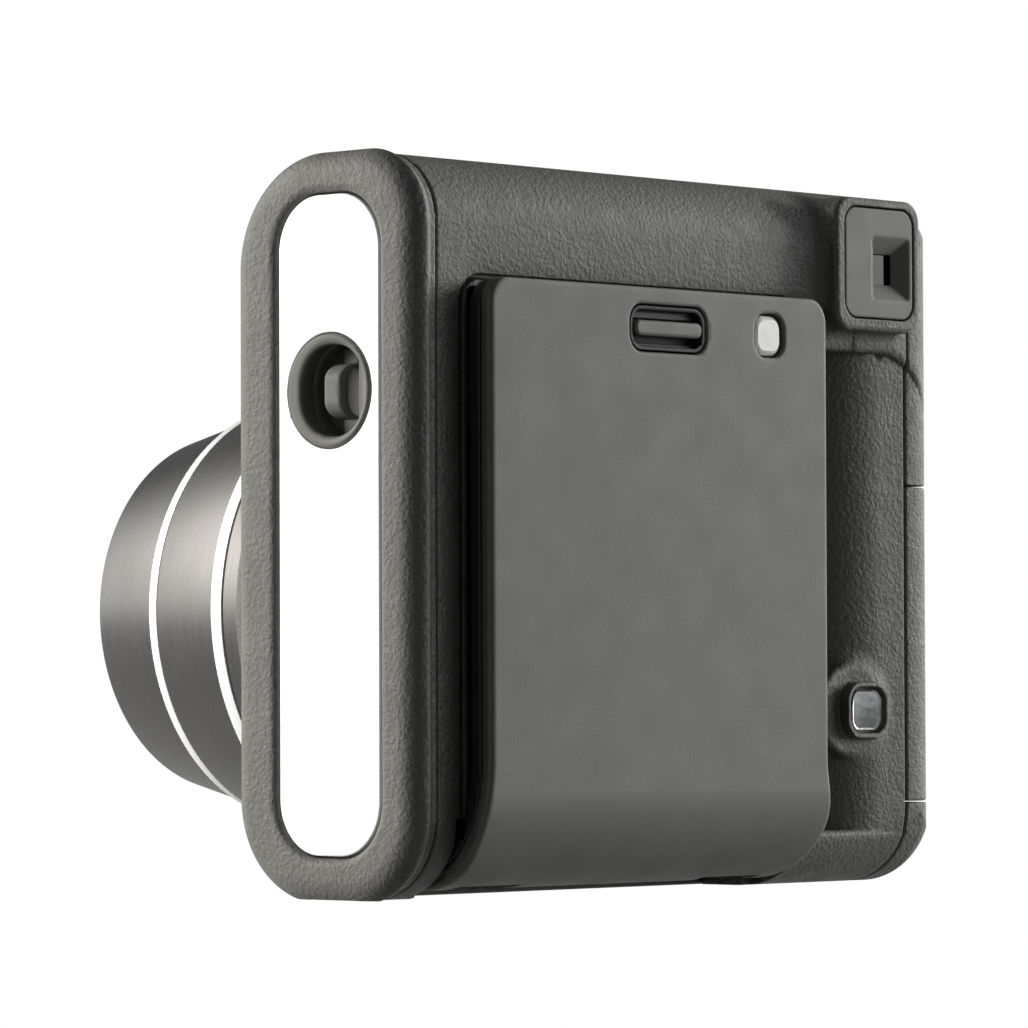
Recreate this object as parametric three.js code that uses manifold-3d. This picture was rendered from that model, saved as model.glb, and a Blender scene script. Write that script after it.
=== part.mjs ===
// Square-format instant camera with a twist-out lens, built as separate pieces.
// Millimetres, +Z up. The lens looks along -Y, the film door faces +Y and the grip is on -X.
// The origin is on the base, half way along the width and half way through the body.
// The lens stands at its ON stop: turned back 60 degrees it is flush with the mode ring.

import * as THREE from 'three';
import { mergeVertices } from 'three/addons/utils/BufferGeometryUtils.js';
import Module from 'manifold-3d';

const wasm = await Module();
wasm.setup();

// ---------------------------------------------------------------- driving dimensions

const GAP = 0.3;
const WALL = 2;

const BODY = {
  width: 134.1,
  height: 120.2,
  depth: 40.3,
  edge: 5,
  gripEdge: 7,
  corners: { frontBottom: 16, rearBottom: 14.5, rearTop: 12, frontTop: 18 },
};
const X_LEFT = BODY.width / 2;
const X_RIGHT = -BODY.width / 2;
const Y_FRONT = -BODY.depth / 2;
const Y_REAR = BODY.depth / 2;
const LEFT_SEAM = 61;
const RIGHT_SEAM = -58;
const PARTING = -2.5;

// The lens, the film and the film door share one centre line.
const FILM_X = 12.5;
const LENS = { x: FILM_X, z: 47.4 };
const IMAGE = 62;

const DOOR = {
  left: FILM_X + 42,
  right: FILM_X - 42,
  top: 100.2,
  face: 25.8,
  sheet: 1.8,
  skirt: 1.5,
  corner: 4.5,
  sweep: 16,
  front: 8.9,
  hinge: { y: 10.6, z: 4.8, radius: 1.1, knuckle: 2.3 },
};
const LATCH = { x: 11.4, z: 93.2, width: 19.2, height: 7.9 };
const PACK_WINDOW = { x: -14.3, z: 93.2, width: 7.7, height: 7.4 };

const CHAMBER = { half: 40.2, wall: 0.8, bottom: 7.4, top: 101.4, front: -1.2, back: 19.9 };

const FINDER = { x: -48.3, z: 106.2, boss: { right: -56.4, left: -33.6, bottom: 95.3, top: 118.2, face: 24.5 } };
const EYEPIECE = { right: -54.3, left: -36, bottom: 97.6, top: 116.5, corner: 3.2 };

const PANEL = { front: -10.2, rear: 12.5, bottom: 7.1, top: 113.7, corner: 9, face: 66.5, floor: 63.5 };
const LUG = { y: 1.3, z: 82, radius: 9.25, slotWidth: 7.4, slotHeight: 14 };

const BATTERY = { x: -49.2, radius: 7.75, length: 27, bottom: 14.6 };
const HATCH = { bottom: 13.8, top: 69.2, front: -12 };

const COUNTER = { x: -46.7, z: 30, width: 9, height: 7.6 };
const FLASH = { x: 7, z: 102.5, width: 30, height: 13 };
const SENSOR = { x: -18, z: 102.5, radius: 3.2 };
const SHUTTER_BUTTON = { x: -48, z: 76, radius: 7.5 };

const EXIT_SLOT = { half: 38.5, front: 1.4, rear: 6 };

// ---------------------------------------------------------------- materials

function material(color, roughness, metalness = 0, opacity = 1) {
  return new THREE.MeshStandardMaterial({ color, roughness, metalness, opacity, transparent: opacity < 1 });
}

const GRAIN = material(0x4b4a46, 0.7);
const FRAME_GRAIN = material(0x55544f, 0.68);
const MATT = material(0x464541, 0.6);
const BLACK = material(0x141414, 0.55);
const GLOSS_BLACK = material(0x0c0c0e, 0.15);
const SILVER = material(0xf2f1ee, 0.12, 0.9);
const GUNMETAL = material(0x6a6865, 0.32, 0.9);
const CHROME = material(0xf5f5f5, 0.08, 1);
const STEEL = material(0xb9b9b6, 0.35, 1);
const GLASS = material(0xdfe6e6, 0.05, 0, 0.4);
const MIRROR = material(0xe8ecee, 0.03, 1);
const FROST = material(0xc9cbc6, 0.4, 0, 0.7);
const GEAR_WHITE = material(0xd8d5cb, 0.5);
const BOARD_GREEN = material(0x1f5b3a, 0.5);
const CELL = material(0x8d9094, 0.4, 0.6);
const RUBBER = material(0x202020, 0.85);

// ---------------------------------------------------------------- shapes and solids

function roundedRect(u0, v0, u1, v1, corners = 0) {
  const r = Array.isArray(corners) ? corners : [corners, corners, corners, corners];
  const shape = new THREE.Shape();
  shape.moveTo(u0 + r[0], v0);
  shape.lineTo(u1 - r[1], v0);
  if (r[1] > 0) shape.absarc(u1 - r[1], v0 + r[1], r[1], -Math.PI / 2, 0, false);
  shape.lineTo(u1, v1 - r[2]);
  if (r[2] > 0) shape.absarc(u1 - r[2], v1 - r[2], r[2], 0, Math.PI / 2, false);
  shape.lineTo(u0 + r[3], v1);
  if (r[3] > 0) shape.absarc(u0 + r[3], v1 - r[3], r[3], Math.PI / 2, Math.PI, false);
  shape.lineTo(u0, v0 + r[0]);
  if (r[0] > 0) shape.absarc(u0 + r[0], v0 + r[0], r[0], Math.PI, Math.PI * 1.5, false);
  return shape;
}

function centredRect(u, v, width, height, corner = 0) {
  return roundedRect(u - width / 2, v - height / 2, u + width / 2, v + height / 2, corner);
}

function circle(u, v, radius) {
  const shape = new THREE.Shape();
  shape.absarc(u, v, radius, 0, Math.PI * 2, false);
  return shape;
}

function polygon(points) {
  return new THREE.Shape(points.map(([u, v]) => new THREE.Vector2(u, v)));
}

function toSolid(geometry) {
  const bare = geometry.clone();
  bare.deleteAttribute('normal');
  bare.deleteAttribute('uv');
  const merged = mergeVertices(bare, 1e-4);
  const vertProperties = new Float32Array(merged.attributes.position.array);
  const triVerts = new Uint32Array(merged.index.array);
  const solid = new wasm.Manifold(new wasm.Mesh({ numProp: 3, vertProperties, triVerts }));
  if (solid.volume() > 0) return solid;
  for (let i = 0; i < triVerts.length; i += 3) {
    [triVerts[i + 1], triVerts[i + 2]] = [triVerts[i + 2], triVerts[i + 1]];
  }
  return new wasm.Manifold(new wasm.Mesh({ numProp: 3, vertProperties, triVerts }));
}

// The drawing plane of a shape extruded along an axis: x draws (Y, Z), y draws (X, Z), z draws (X, Y).
const PLANES = {
  x: [new THREE.Vector3(0, 1, 0), new THREE.Vector3(0, 0, 1), new THREE.Vector3(1, 0, 0)],
  y: [new THREE.Vector3(1, 0, 0), new THREE.Vector3(0, 0, 1), new THREE.Vector3(0, -1, 0)],
  z: [new THREE.Vector3(1, 0, 0), new THREE.Vector3(0, 1, 0), new THREE.Vector3(0, 0, 1)],
};

function extrude(shape, axis, from, to, options = {}) {
  const { bevel = 0, curve = 4, steps = 3 } = options;
  const geometry = new THREE.ExtrudeGeometry(shape, {
    depth: to - from - 2 * bevel,
    curveSegments: curve,
    bevelEnabled: bevel > 0,
    bevelThickness: bevel,
    bevelSize: bevel,
    bevelOffset: -bevel,
    bevelSegments: steps,
  });
  geometry.translate(0, 0, axis === 'y' ? bevel - to : from + bevel);
  geometry.applyMatrix4(new THREE.Matrix4().makeBasis(...PLANES[axis]));
  return toSolid(geometry);
}

function box(x0, x1, y0, y1, z0, z1) {
  return extrude(roundedRect(x0, y0, x1, y1), 'z', z0, z1);
}

function rod(axis, u, v, radius, from, to, curve = 7) {
  return extrude(circle(u, v, radius), axis, from, to, { curve });
}

function tube(axis, u, v, inner, outer, from, to, curve = 7) {
  return rod(axis, u, v, outer, from, to, curve).subtract(rod(axis, u, v, inner, from - 1, to + 1, curve));
}

// A ring turned about the Y axis: a closed outline of [radius, y] points.
function turned(outline, segments = 40) {
  const points = [...outline, outline[0]].map(([r, y]) => new THREE.Vector2(r, y));
  return toSolid(new THREE.LatheGeometry(points, segments));
}

// A disc or lens turned about the Y axis, whose outline starts and ends on the axis.
function turnedOnAxis(outline, segments = 24) {
  return toSolid(new THREE.LatheGeometry(outline.map(([r, y]) => new THREE.Vector2(r, y)), segments));
}

function toMesh(name, solid, look) {
  const { vertProperties, triVerts, numProp } = solid.getMesh();
  const positions = new Float32Array((vertProperties.length / numProp) * 3);
  for (let i = 0; i < positions.length / 3; i += 1) {
    positions.set(vertProperties.subarray(i * numProp, i * numProp + 3), i * 3);
  }
  const geometry = new THREE.BufferGeometry();
  geometry.setAttribute('position', new THREE.BufferAttribute(positions, 3));
  geometry.setIndex(new THREE.BufferAttribute(new Uint32Array(triVerts), 1));
  geometry.computeVertexNormals();
  const mesh = new THREE.Mesh(geometry, look);
  mesh.name = name;
  return mesh;
}

const camera = new THREE.Group();
const lensGroup = new THREE.Group();
lensGroup.position.set(LENS.x, 0, LENS.z);
camera.add(lensGroup);

function place(name, solid, look, parent = camera) {
  const mesh = toMesh(name, solid, look);
  parent.add(mesh);
  return mesh;
}

// ---------------------------------------------------------------- body envelope

function sideOutline(inset) {
  const c = BODY.corners;
  return roundedRect(Y_FRONT + inset, inset, Y_REAR - inset, BODY.height - inset, [
    c.frontBottom - inset,
    c.rearBottom - inset,
    c.rearTop - inset,
    c.frontTop - inset,
  ]);
}

// The body's rounded block, pulled in all round by inset.
function envelope(inset) {
  const edge = BODY.edge - inset;
  const grip = BODY.gripEdge - inset;
  const length = extrude(sideOutline(inset), 'x', X_RIGHT + inset, X_LEFT - inset, { bevel: edge, curve: 7 });
  const plan = roundedRect(X_RIGHT + inset, Y_FRONT + inset, X_LEFT + 1, Y_REAR - inset, [grip, 0, 0, grip]);
  return length.intersect(extrude(plan, 'z', -1, BODY.height + 1, { curve: 7 }));
}

const OUTER = envelope(0);
const INNER = envelope(WALL);
const SKIN = OUTER.subtract(INNER);

const FAR = 200;
const leftOf = (x) => box(x, FAR, -FAR, FAR, -FAR, FAR);
const rightOf = (x) => box(-FAR, x, -FAR, FAR, -FAR, FAR);
const frontOf = (y) => box(-FAR, FAR, -FAR, y, -FAR, FAR);
const behind = (y) => box(-FAR, FAR, y, FAR, -FAR, FAR);

const MIDDLE = box(RIGHT_SEAM + GAP / 2, LEFT_SEAM - GAP / 2, -FAR, FAR, -FAR, FAR);

// ---------------------------------------------------------------- front shell

const GUIDE = { inner: 40.5, outer: 41.9 };
const ISLAND_FACE = Y_FRONT - 0.35;
const FINDER_FRONT = { x: FINDER.x, z: 102.5, width: 15, height: 12 };

function frontShell() {
  const window = (part, margin, from, to) => {
    return extrude(centredRect(part.x, part.z, part.width + margin, part.height + margin, 2.5), 'y', from, to);
  };
  const islandBack = -12;
  const grip = extrude(roundedRect(-57.8, Y_FRONT - 5, -38, 0, [6, 9, 0, 0]), 'z', 9, 66, { bevel: 2 });
  let shell = SKIN.intersect(MIDDLE).intersect(frontOf(PARTING - GAP / 2));
  const outside = frontOf(PARTING - GAP / 2).intersect(MIDDLE).subtract(INNER);
  shell = shell.add(grip.intersect(outside));
  const bosses = [FLASH, FINDER_FRONT].map((part) => window(part, 4, ISLAND_FACE, islandBack));
  const sensorBoss = rod('y', SENSOR.x, SENSOR.z, SENSOR.radius + 2, ISLAND_FACE, islandBack);
  for (const boss of [...bosses, sensorBoss]) shell = shell.add(boss.intersect(MIDDLE));
  for (const part of [FLASH, FINDER_FRONT]) {
    shell = shell.subtract(window(part, 2 * GAP, ISLAND_FACE - 1, ISLAND_FACE + 1.8));
    shell = shell.subtract(window(part, -1.6, ISLAND_FACE - 1, 0));
  }
  shell = shell.subtract(rod('y', SENSOR.x, SENSOR.z, SENSOR.radius + GAP, ISLAND_FACE - 1, ISLAND_FACE + 1.8));
  shell = shell.subtract(rod('y', SENSOR.x, SENSOR.z, SENSOR.radius - 0.8, ISLAND_FACE - 1, 0));
  shell = shell.subtract(rod('y', SHUTTER_BUTTON.x, SHUTTER_BUTTON.z, SHUTTER_BUTTON.radius + 2, -30, 0));
  return shell.subtract(rod('y', LENS.x, LENS.z, GUIDE.outer + GAP, -30, 0, 20));
}
place('front_shell', frontShell(), GRAIN);

place('flash_window', extrude(
  centredRect(FLASH.x, FLASH.z, FLASH.width, FLASH.height, 2.3), 'y', ISLAND_FACE, ISLAND_FACE + 1.5,
), GLASS);
place('finder_front_window', extrude(
  centredRect(FINDER_FRONT.x, FINDER_FRONT.z, FINDER_FRONT.width, FINDER_FRONT.height, 2.3),
  'y', ISLAND_FACE, ISLAND_FACE + 1.5,
), GLASS);
place('light_sensor_window', rod('y', SENSOR.x, SENSOR.z, SENSOR.radius, ISLAND_FACE, ISLAND_FACE + 1.5), GLOSS_BLACK);

// ---------------------------------------------------------------- flash unit

function flashReflector() {
  const y = ISLAND_FACE + 2.2;
  const trough = polygon([[y, -5.4], [y + 6.5, -2.6], [y + 6.5, 2.6], [y, 5.4]]);
  const cut = polygon([[y - 1, -4.9], [y + 5.7, -2], [y + 5.7, 2], [y - 1, 4.9]]);
  const half = FLASH.width / 2 - 2.4;
  const shell = extrude(trough, 'x', FLASH.x - half, FLASH.x + half);
  return shell.subtract(extrude(cut, 'x', FLASH.x - half + 0.8, FLASH.x + half - 0.8)).translate(0, 0, FLASH.z);
}
place('flash_reflector', flashReflector(), MIRROR);
place('flash_tube', rod('x', ISLAND_FACE + 5.9, FLASH.z, 1.2, FLASH.x - 11.4, FLASH.x + 11.4, 5), GLASS);
place('flash_capacitor', rod('z', -34, -5, 4.5, 90, 114, 6), GLOSS_BLACK);

// ---------------------------------------------------------------- rear shell

function finderBoss() {
  const b = FINDER.boss;
  const block = extrude(roundedRect(b.right, b.bottom, b.left, b.top, 3), 'y', Y_REAR - 8, b.face, { bevel: 1.2 });
  const sweep = polygon([
    [b.left - 1, Y_REAR - 3],
    [b.left + 12, Y_REAR - 1],
    [b.left + 5, Y_REAR + 0.35],
    [b.left + 1.6, Y_REAR + 1.6],
    [b.left, b.face - 1.4],
    [b.left - 1, b.face - 1.4],
  ]);
  const flank = extrude(sweep, 'z', b.bottom + 6, b.top - 3.4);
  return block.add(flank).subtract(INNER);
}

// A shallow gutter down the grip beside the door, which makes the thumb rest.
function thumbGutter() {
  const gutter = polygon([
    [DOOR.right + 4, Y_REAR - 1.9],
    [DOOR.right - 2, Y_REAR - 1.9],
    [DOOR.right - 5.5, Y_REAR - 1.1],
    [DOOR.right - 12, Y_REAR + 0.01],
    [DOOR.right - 12, Y_REAR + 2],
    [DOOR.right + 4, Y_REAR + 2],
  ]);
  return extrude(gutter, 'z', 9.3, 91.9);
}

function rearShell() {
  let shell = SKIN.intersect(MIDDLE).intersect(behind(PARTING + GAP / 2));
  shell = shell.add(finderBoss().intersect(MIDDLE).intersect(behind(PARTING + GAP / 2)));
  const pad = box(DOOR.right - 7, DOOR.right + 1.4, Y_REAR - 4.2, Y_REAR - 1, 14, 92);
  shell = shell.add(pad);
  shell = shell.subtract(thumbGutter());
  shell = shell.subtract(box(FILM_X - 40.5, FILM_X + 40.5, 8, 40, -1, 98.6));
  shell = shell.subtract(box(DOOR.right - GAP, DOOR.left + GAP, 7, 40, -1, 13));
  const slot = roundedRect(FILM_X - EXIT_SLOT.half, EXIT_SLOT.front, FILM_X + EXIT_SLOT.half, EXIT_SLOT.rear, 0.8);
  shell = shell.subtract(extrude(slot, 'z', 110, 125));
  const plate = roundedRect(EYEPIECE.right - GAP, EYEPIECE.bottom - GAP, EYEPIECE.left + GAP, EYEPIECE.top + GAP, EYEPIECE.corner);
  shell = shell.subtract(extrude(plate, 'y', FINDER.boss.face - 2.6, 40));
  shell = shell.subtract(extrude(centredRect(FINDER.x, FINDER.z, 8.4, 8.4, 1), 'y', 10, 40));
  const counter = (margin) => centredRect(COUNTER.x, COUNTER.z, COUNTER.width + margin, COUNTER.height + margin, 2.4);
  shell = shell.subtract(extrude(counter(0), 'y', Y_REAR - 1.2, 40));
  return shell.subtract(extrude(counter(-2), 'y', 10, 40));
}
place('rear_shell', rearShell(), GRAIN);

// ---------------------------------------------------------------- eyepiece and finder

function funnel(halfOuterX, halfOuterZ, halfInner, yOuter, yInner) {
  const outline = [];
  for (const [sx, sz] of [[-1, -1], [1, -1], [1, 1], [-1, 1]]) outline.push([sx, sz]);
  const positions = [];
  for (const [sx, sz] of outline) positions.push(sx * halfOuterX, yOuter, sz * halfOuterZ);
  for (const [sx, sz] of outline) positions.push(sx * halfInner, yInner, sz * halfInner);
  const faces = [0, 1, 2, 0, 2, 3, 4, 6, 5, 4, 7, 6];
  for (let i = 0; i < 4; i += 1) {
    const next = (i + 1) % 4;
    faces.push(i, i + 4, next, next, i + 4, next + 4);
  }
  const geometry = new THREE.BufferGeometry();
  geometry.setAttribute('position', new THREE.BufferAttribute(new Float32Array(positions), 3));
  geometry.setIndex(faces);
  return toSolid(geometry).translate(FINDER.x, 0, FINDER.z);
}

const PUPIL = 2.1;
const plateOutline = roundedRect(EYEPIECE.right, EYEPIECE.bottom, EYEPIECE.left, EYEPIECE.top, EYEPIECE.corner - GAP);
const eyepiecePlate = extrude(plateOutline, 'y', FINDER.boss.face - 2.3, FINDER.boss.face - 0.1, { bevel: 0.3, steps: 1 })
  .subtract(funnel(5.3, 5.6, PUPIL, FINDER.boss.face + 0.01, FINDER.boss.face - 2.4));
place('eyepiece_plate', eyepiecePlate, MATT);
place('eyepiece_lens', extrude(centredRect(FINDER.x, FINDER.z, 7.4, 7.4, 0.8), 'y', 20.4, 21.6), GLASS);

const finderTube = extrude(centredRect(FINDER.x, FINDER.z, 15, 15, 1), 'y', -12, 15.8)
  .subtract(extrude(centredRect(FINDER.x, FINDER.z, 13.4, 13.4, 0.6), 'y', -13, 14.6))
  .subtract(extrude(centredRect(FINDER.x, FINDER.z, 7, 7), 'y', 10, 20));
place('finder_tube', finderTube, BLACK);

// ---------------------------------------------------------------- film counter

const counterWindow = centredRect(COUNTER.x, COUNTER.z, COUNTER.width - 2 * GAP, COUNTER.height - 2 * GAP, 2.1);
place('counter_window', extrude(counterWindow, 'y', Y_REAR - 0.95, Y_REAR - 0.15), GLASS);
const DIAL = { x: COUNTER.x + 2.5, z: COUNTER.z, radius: 7.2, y: 16.4 };
place('counter_dial', rod('y', DIAL.x, DIAL.z, DIAL.radius, DIAL.y, DIAL.y + 1.2, 7)
  .add(rod('y', DIAL.x, DIAL.z, 1.2, 12.4, DIAL.y, 4)), BLACK);

// ---------------------------------------------------------------- side frames, trim panel, strap lug

// The frame's bulging bead stands a little proud of the shells, except under the base.
const BEAD = { proud: 0.9, edge: 4.2, from: 63.4 };

function leftSideFrame() {
  const bead = extrude(sideOutline(-BEAD.proud), 'x', X_LEFT - 14, X_LEFT, { bevel: BEAD.edge, curve: 7 })
    .intersect(box(BEAD.from, FAR, -FAR, FAR, 0, FAR));
  const cap = OUTER.intersect(leftOf(LEFT_SEAM + GAP / 2)).add(bead);
  const panelHole = roundedRect(
    PANEL.front - GAP, PANEL.bottom - GAP, PANEL.rear + GAP, PANEL.top + GAP, PANEL.corner + GAP,
  );
  const hollow = extrude(sideOutline(WALL), 'x', LEFT_SEAM - 2, LEFT_SEAM + 0.9, { curve: 7 });
  return cap
    .subtract(hollow)
    .subtract(extrude(panelHole, 'x', PANEL.floor - GAP, 80, { curve: 6 }))
    .subtract(rod('x', LUG.y, LUG.z, LUG.radius - 1, 50, 80));
}
place('left_side_frame', leftSideFrame(), FRAME_GRAIN);

const panelOutline = roundedRect(PANEL.front, PANEL.bottom, PANEL.rear, PANEL.top, PANEL.corner);
place('left_trim_panel', extrude(panelOutline, 'x', PANEL.floor, PANEL.face, { bevel: 0.5, steps: 2, curve: 8 })
  .subtract(rod('x', LUG.y, LUG.z, LUG.radius + GAP, 50, 80, 10)), SILVER);

function strapLug() {
  const flange = rod('x', LUG.y, LUG.z, LUG.radius, PANEL.floor, PANEL.face + 0.3, 10);
  const cup = rod('x', LUG.y, LUG.z, LUG.radius - 1.3, 57.4, PANEL.floor, 8);
  const slot = centredRect(LUG.y, LUG.z, LUG.slotWidth, LUG.slotHeight, LUG.slotWidth / 2);
  return flange.add(cup).subtract(extrude(slot, 'x', 58.6, 80));
}
place('strap_lug', strapLug(), MATT);
const STRAP_BAR = { width: 3.1, thickness: 2, front: PANEL.face - 0.4 };
place('strap_bar', extrude(
  centredRect(LUG.y, LUG.z, STRAP_BAR.width, LUG.slotHeight - 1.8, 1),
  'x', STRAP_BAR.front - STRAP_BAR.thickness, STRAP_BAR.front,
), MATT);

function rightSideFrame() {
  const cap = SKIN.intersect(rightOf(RIGHT_SEAM - GAP / 2));
  return cap.subtract(box(-80, RIGHT_SEAM, HATCH.front, 40, HATCH.bottom, HATCH.top));
}
place('right_side_frame', rightSideFrame(), FRAME_GRAIN);

const batteryDoor = SKIN
  .intersect(box(-80, RIGHT_SEAM - GAP / 2, HATCH.front + GAP, 40, HATCH.bottom + GAP, HATCH.top - GAP));
place('battery_door', batteryDoor, FRAME_GRAIN);

// ---------------------------------------------------------------- batteries

const batteryTop = BATTERY.bottom + 2 * BATTERY.length + 0.6;

function batteryTray() {
  const x0 = BATTERY.x - 6;
  const x1 = BATTERY.x + BATTERY.radius + 1.7;
  const y = BATTERY.radius + 1.6;
  const outer = box(x0, x1, -y, y, BATTERY.bottom - 2.4, batteryTop + 2.4);
  const inner = box(x0 - 1, x1 - 1.2, 1.2 - y, y - 1.2, BATTERY.bottom - 1.2, batteryTop + 1.2);
  return outer.subtract(inner);
}
place('battery_tray', batteryTray(), BLACK);

for (const [name, index] of [['battery_lower', 0], ['battery_upper', 1]]) {
  const z = BATTERY.bottom + index * (BATTERY.length + 0.6);
  const can = rod('z', BATTERY.x, 0, BATTERY.radius, z, z + BATTERY.length - 1.4, 7);
  place(name, can.add(rod('z', BATTERY.x, 0, 3.2, z + BATTERY.length - 1.4, z + BATTERY.length, 4)), CELL);
}
place('battery_contact', box(BATTERY.x - 5, BATTERY.x + 5, -5, 5, BATTERY.bottom - 0.9, BATTERY.bottom - 0.4), STEEL);

// ---------------------------------------------------------------- shutter button

const button = SHUTTER_BUTTON;
place('shutter_button_ring', tube('y', button.x, button.z, button.radius + GAP, button.radius + 1.7,
  Y_FRONT - 0.9, Y_FRONT + 2.2, 8), CHROME);
place('shutter_button', rod('y', button.x, button.z, button.radius, Y_FRONT - 2.4, Y_FRONT + 1.2, 8)
  .add(rod('y', button.x, button.z, 2, Y_FRONT + 1.2, Y_FRONT + 6, 4)), SILVER);
place('shutter_switch', box(button.x - 4, button.x + 4, Y_FRONT + 7.8, Y_FRONT + 10.4, button.z - 4, button.z + 4), BLACK);

// ---------------------------------------------------------------- film door

// The door's side view: flat down the back, then one sweep round to the hinge at the base.
function doorOutline(inset) {
  const centreY = DOOR.face - DOOR.sweep;
  const centreZ = DOOR.sweep + 1.4;
  const radius = DOOR.sweep - inset;
  const shape = new THREE.Shape();
  shape.moveTo(DOOR.front - inset, DOOR.top - inset);
  shape.lineTo(DOOR.front - inset, centreZ - radius);
  shape.lineTo(centreY, centreZ - radius);
  shape.absarc(centreY, centreZ, radius, -Math.PI / 2, 0, false);
  shape.lineTo(DOOR.face - inset, DOOR.top - inset);
  return shape;
}

function filmDoor() {
  const face = roundedRect(DOOR.right, -5, DOOR.left, DOOR.top, [0, 0, DOOR.corner, DOOR.corner]);
  const outer = extrude(doorOutline(0), 'x', DOOR.right, DOOR.left, { bevel: 0.8, steps: 2, curve: 8 })
    .intersect(extrude(face, 'y', 0, 40, { curve: 5 }));
  const hollow = extrude(doorOutline(DOOR.sheet), 'x', DOOR.right + DOOR.skirt, DOOR.left - DOOR.skirt, { curve: 8 });
  const body = extrude(sideOutline(-GAP), 'x', -90, 90, { curve: 7 }).intersect(box(-90, 90, -60, 60, 10, 140));
  let door = outer.subtract(hollow).subtract(body);
  for (const x of [DOOR.left - 12, DOOR.right + 12]) {
    const knuckle = rod('x', DOOR.hinge.y, DOOR.hinge.z, DOOR.hinge.knuckle, x - 4, x + 4, 5);
    const web = box(x - 4, x + 4, DOOR.hinge.y - 1, DOOR.hinge.y + 6, 2, DOOR.hinge.z);
    door = door.subtract(box(x - 7.1, x - 4.4, 5, 15.5, -1, 9)).subtract(box(x + 4.4, x + 7.1, 5, 15.5, -1, 9));
    door = door.add(knuckle).add(web);
    door = door.subtract(rod('x', DOOR.hinge.y, DOOR.hinge.z, DOOR.hinge.radius + GAP, x - 5, x + 5, 5));
  }
  door = door.subtract(extrude(centredRect(LATCH.x, LATCH.z, LATCH.width, LATCH.height, 3.9), 'y', 20, 40));
  return door.subtract(extrude(
    centredRect(PACK_WINDOW.x, PACK_WINDOW.z, PACK_WINDOW.width, PACK_WINDOW.height, 2.8), 'y', 20, 40,
  ));
}
place('film_door', filmDoor(), MATT);

function latchPocket() {
  const outer = centredRect(LATCH.x, LATCH.z, LATCH.width - 2 * GAP, LATCH.height - 2 * GAP, 3.6);
  const hollow = centredRect(LATCH.x, LATCH.z, LATCH.width - 2, LATCH.height - 2, 2.9);
  return extrude(outer, 'y', DOOR.face - 4.2, DOOR.face - 0.3).subtract(extrude(hollow, 'y', DOOR.face - 3.4, 40));
}
place('latch_pocket', latchPocket(), MATT);
place('door_latch', extrude(
  centredRect(LATCH.x, LATCH.z, LATCH.width - 2.6, 2.6, 1.2), 'y', DOOR.face - 3, DOOR.face + 0.1, { bevel: 0.4, steps: 2 },
), MATT);
place('pack_window', extrude(
  centredRect(PACK_WINDOW.x, PACK_WINDOW.z, PACK_WINDOW.width - 2 * GAP, PACK_WINDOW.height - 2 * GAP, 2.5),
  'y', DOOR.face - 2, DOOR.face - 0.9,
), FROST);

place('door_hinge_pin', rod('x', DOOR.hinge.y, DOOR.hinge.z, DOOR.hinge.radius,
  DOOR.right + 4.8, DOOR.left - 4.8, 5), STEEL);
function hingeBracket(x) {
  const ear = (from) => box(from, from + 1.8, 5, 12.6, 2.3, 7);
  const strap = box(x - 6.8, x + 6.8, 4.2, 6.2, 2.3, 7);
  return ear(x - 6.8).add(ear(x + 5)).add(strap)
    .subtract(rod('x', DOOR.hinge.y, DOOR.hinge.z, DOOR.hinge.radius + 0.1, x - 10, x + 10, 5));
}
place('hinge_bracket_left', hingeBracket(DOOR.left - 12), STEEL);
place('hinge_bracket_right', hingeBracket(DOOR.right + 12), STEEL);

function pressurePlate() {
  const plate = extrude(centredRect(FILM_X, 52, 44, 60, 3), 'y', 20.8, 21.9);
  const posts = [-14, 14].flatMap((x) => [-20, 20].map((z) => rod('y', FILM_X + x, 52 + z, 3, 21.9, 23.7, 4)));
  return posts.reduce((solid, post) => solid.add(post), plate);
}
place('pack_pressure_plate', pressurePlate(), BLACK);

// ---------------------------------------------------------------- film chamber

function chamberFrame() {
  const c = CHAMBER;
  const half = c.half - c.wall;
  const outer = box(FILM_X - c.half, FILM_X + c.half, c.front, c.back, c.bottom, c.top);
  const inner = box(FILM_X - half, FILM_X + half, c.front + 1.2, 40, c.bottom + c.wall, c.top - 1.2);
  const gate = extrude(centredRect(FILM_X, LENS.z, IMAGE, IMAGE), 'y', -10, 10);
  const exit = box(FILM_X - 37, FILM_X + 37, 1.2, 3.4, 90, 110);
  const fit = extrude(sideOutline(WALL + GAP), 'x', -60, 60, { curve: 7 });
  return outer.intersect(fit).subtract(inner).subtract(gate).subtract(exit);
}
place('film_chamber', chamberFrame(), BLACK);

// ---------------------------------------------------------------- rollers and drive

const ROLLER = { radius: 4, shaft: 1.2, spacing: 8.3, z: 106, filmY: 2.3, left: 51, right: -26 };
const MODULE = ROLLER.spacing / 12;
const GEAR_FACE = { from: 54.2, to: 57.2 };

function spurGear(teeth) {
  const pitch = (MODULE * teeth) / 2;
  const root = pitch - 1.3 * MODULE;
  const tip = pitch + 0.85 * MODULE;
  const step = (Math.PI * 2) / teeth;
  const points = [];
  for (let i = 0; i < teeth; i += 1) {
    for (const [radius, offset] of [[root, -0.27], [tip, -0.11], [tip, 0.11], [root, 0.27]]) {
      const angle = (i + offset) * step;
      points.push([radius * Math.cos(angle), radius * Math.sin(angle)]);
    }
  }
  return extrude(polygon(points), 'x', GEAR_FACE.from, GEAR_FACE.to);
}

// The turn that puts a gear in mesh with a neighbour whose first tooth stands at neighbourTurn.
function meshTurn(neighbour, gear) {
  const line = Math.atan2(gear.z - neighbour.z, gear.y - neighbour.y);
  return line + Math.PI + Math.PI / gear.teeth - ((neighbour.turn - line) * neighbour.teeth) / gear.teeth;
}

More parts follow.
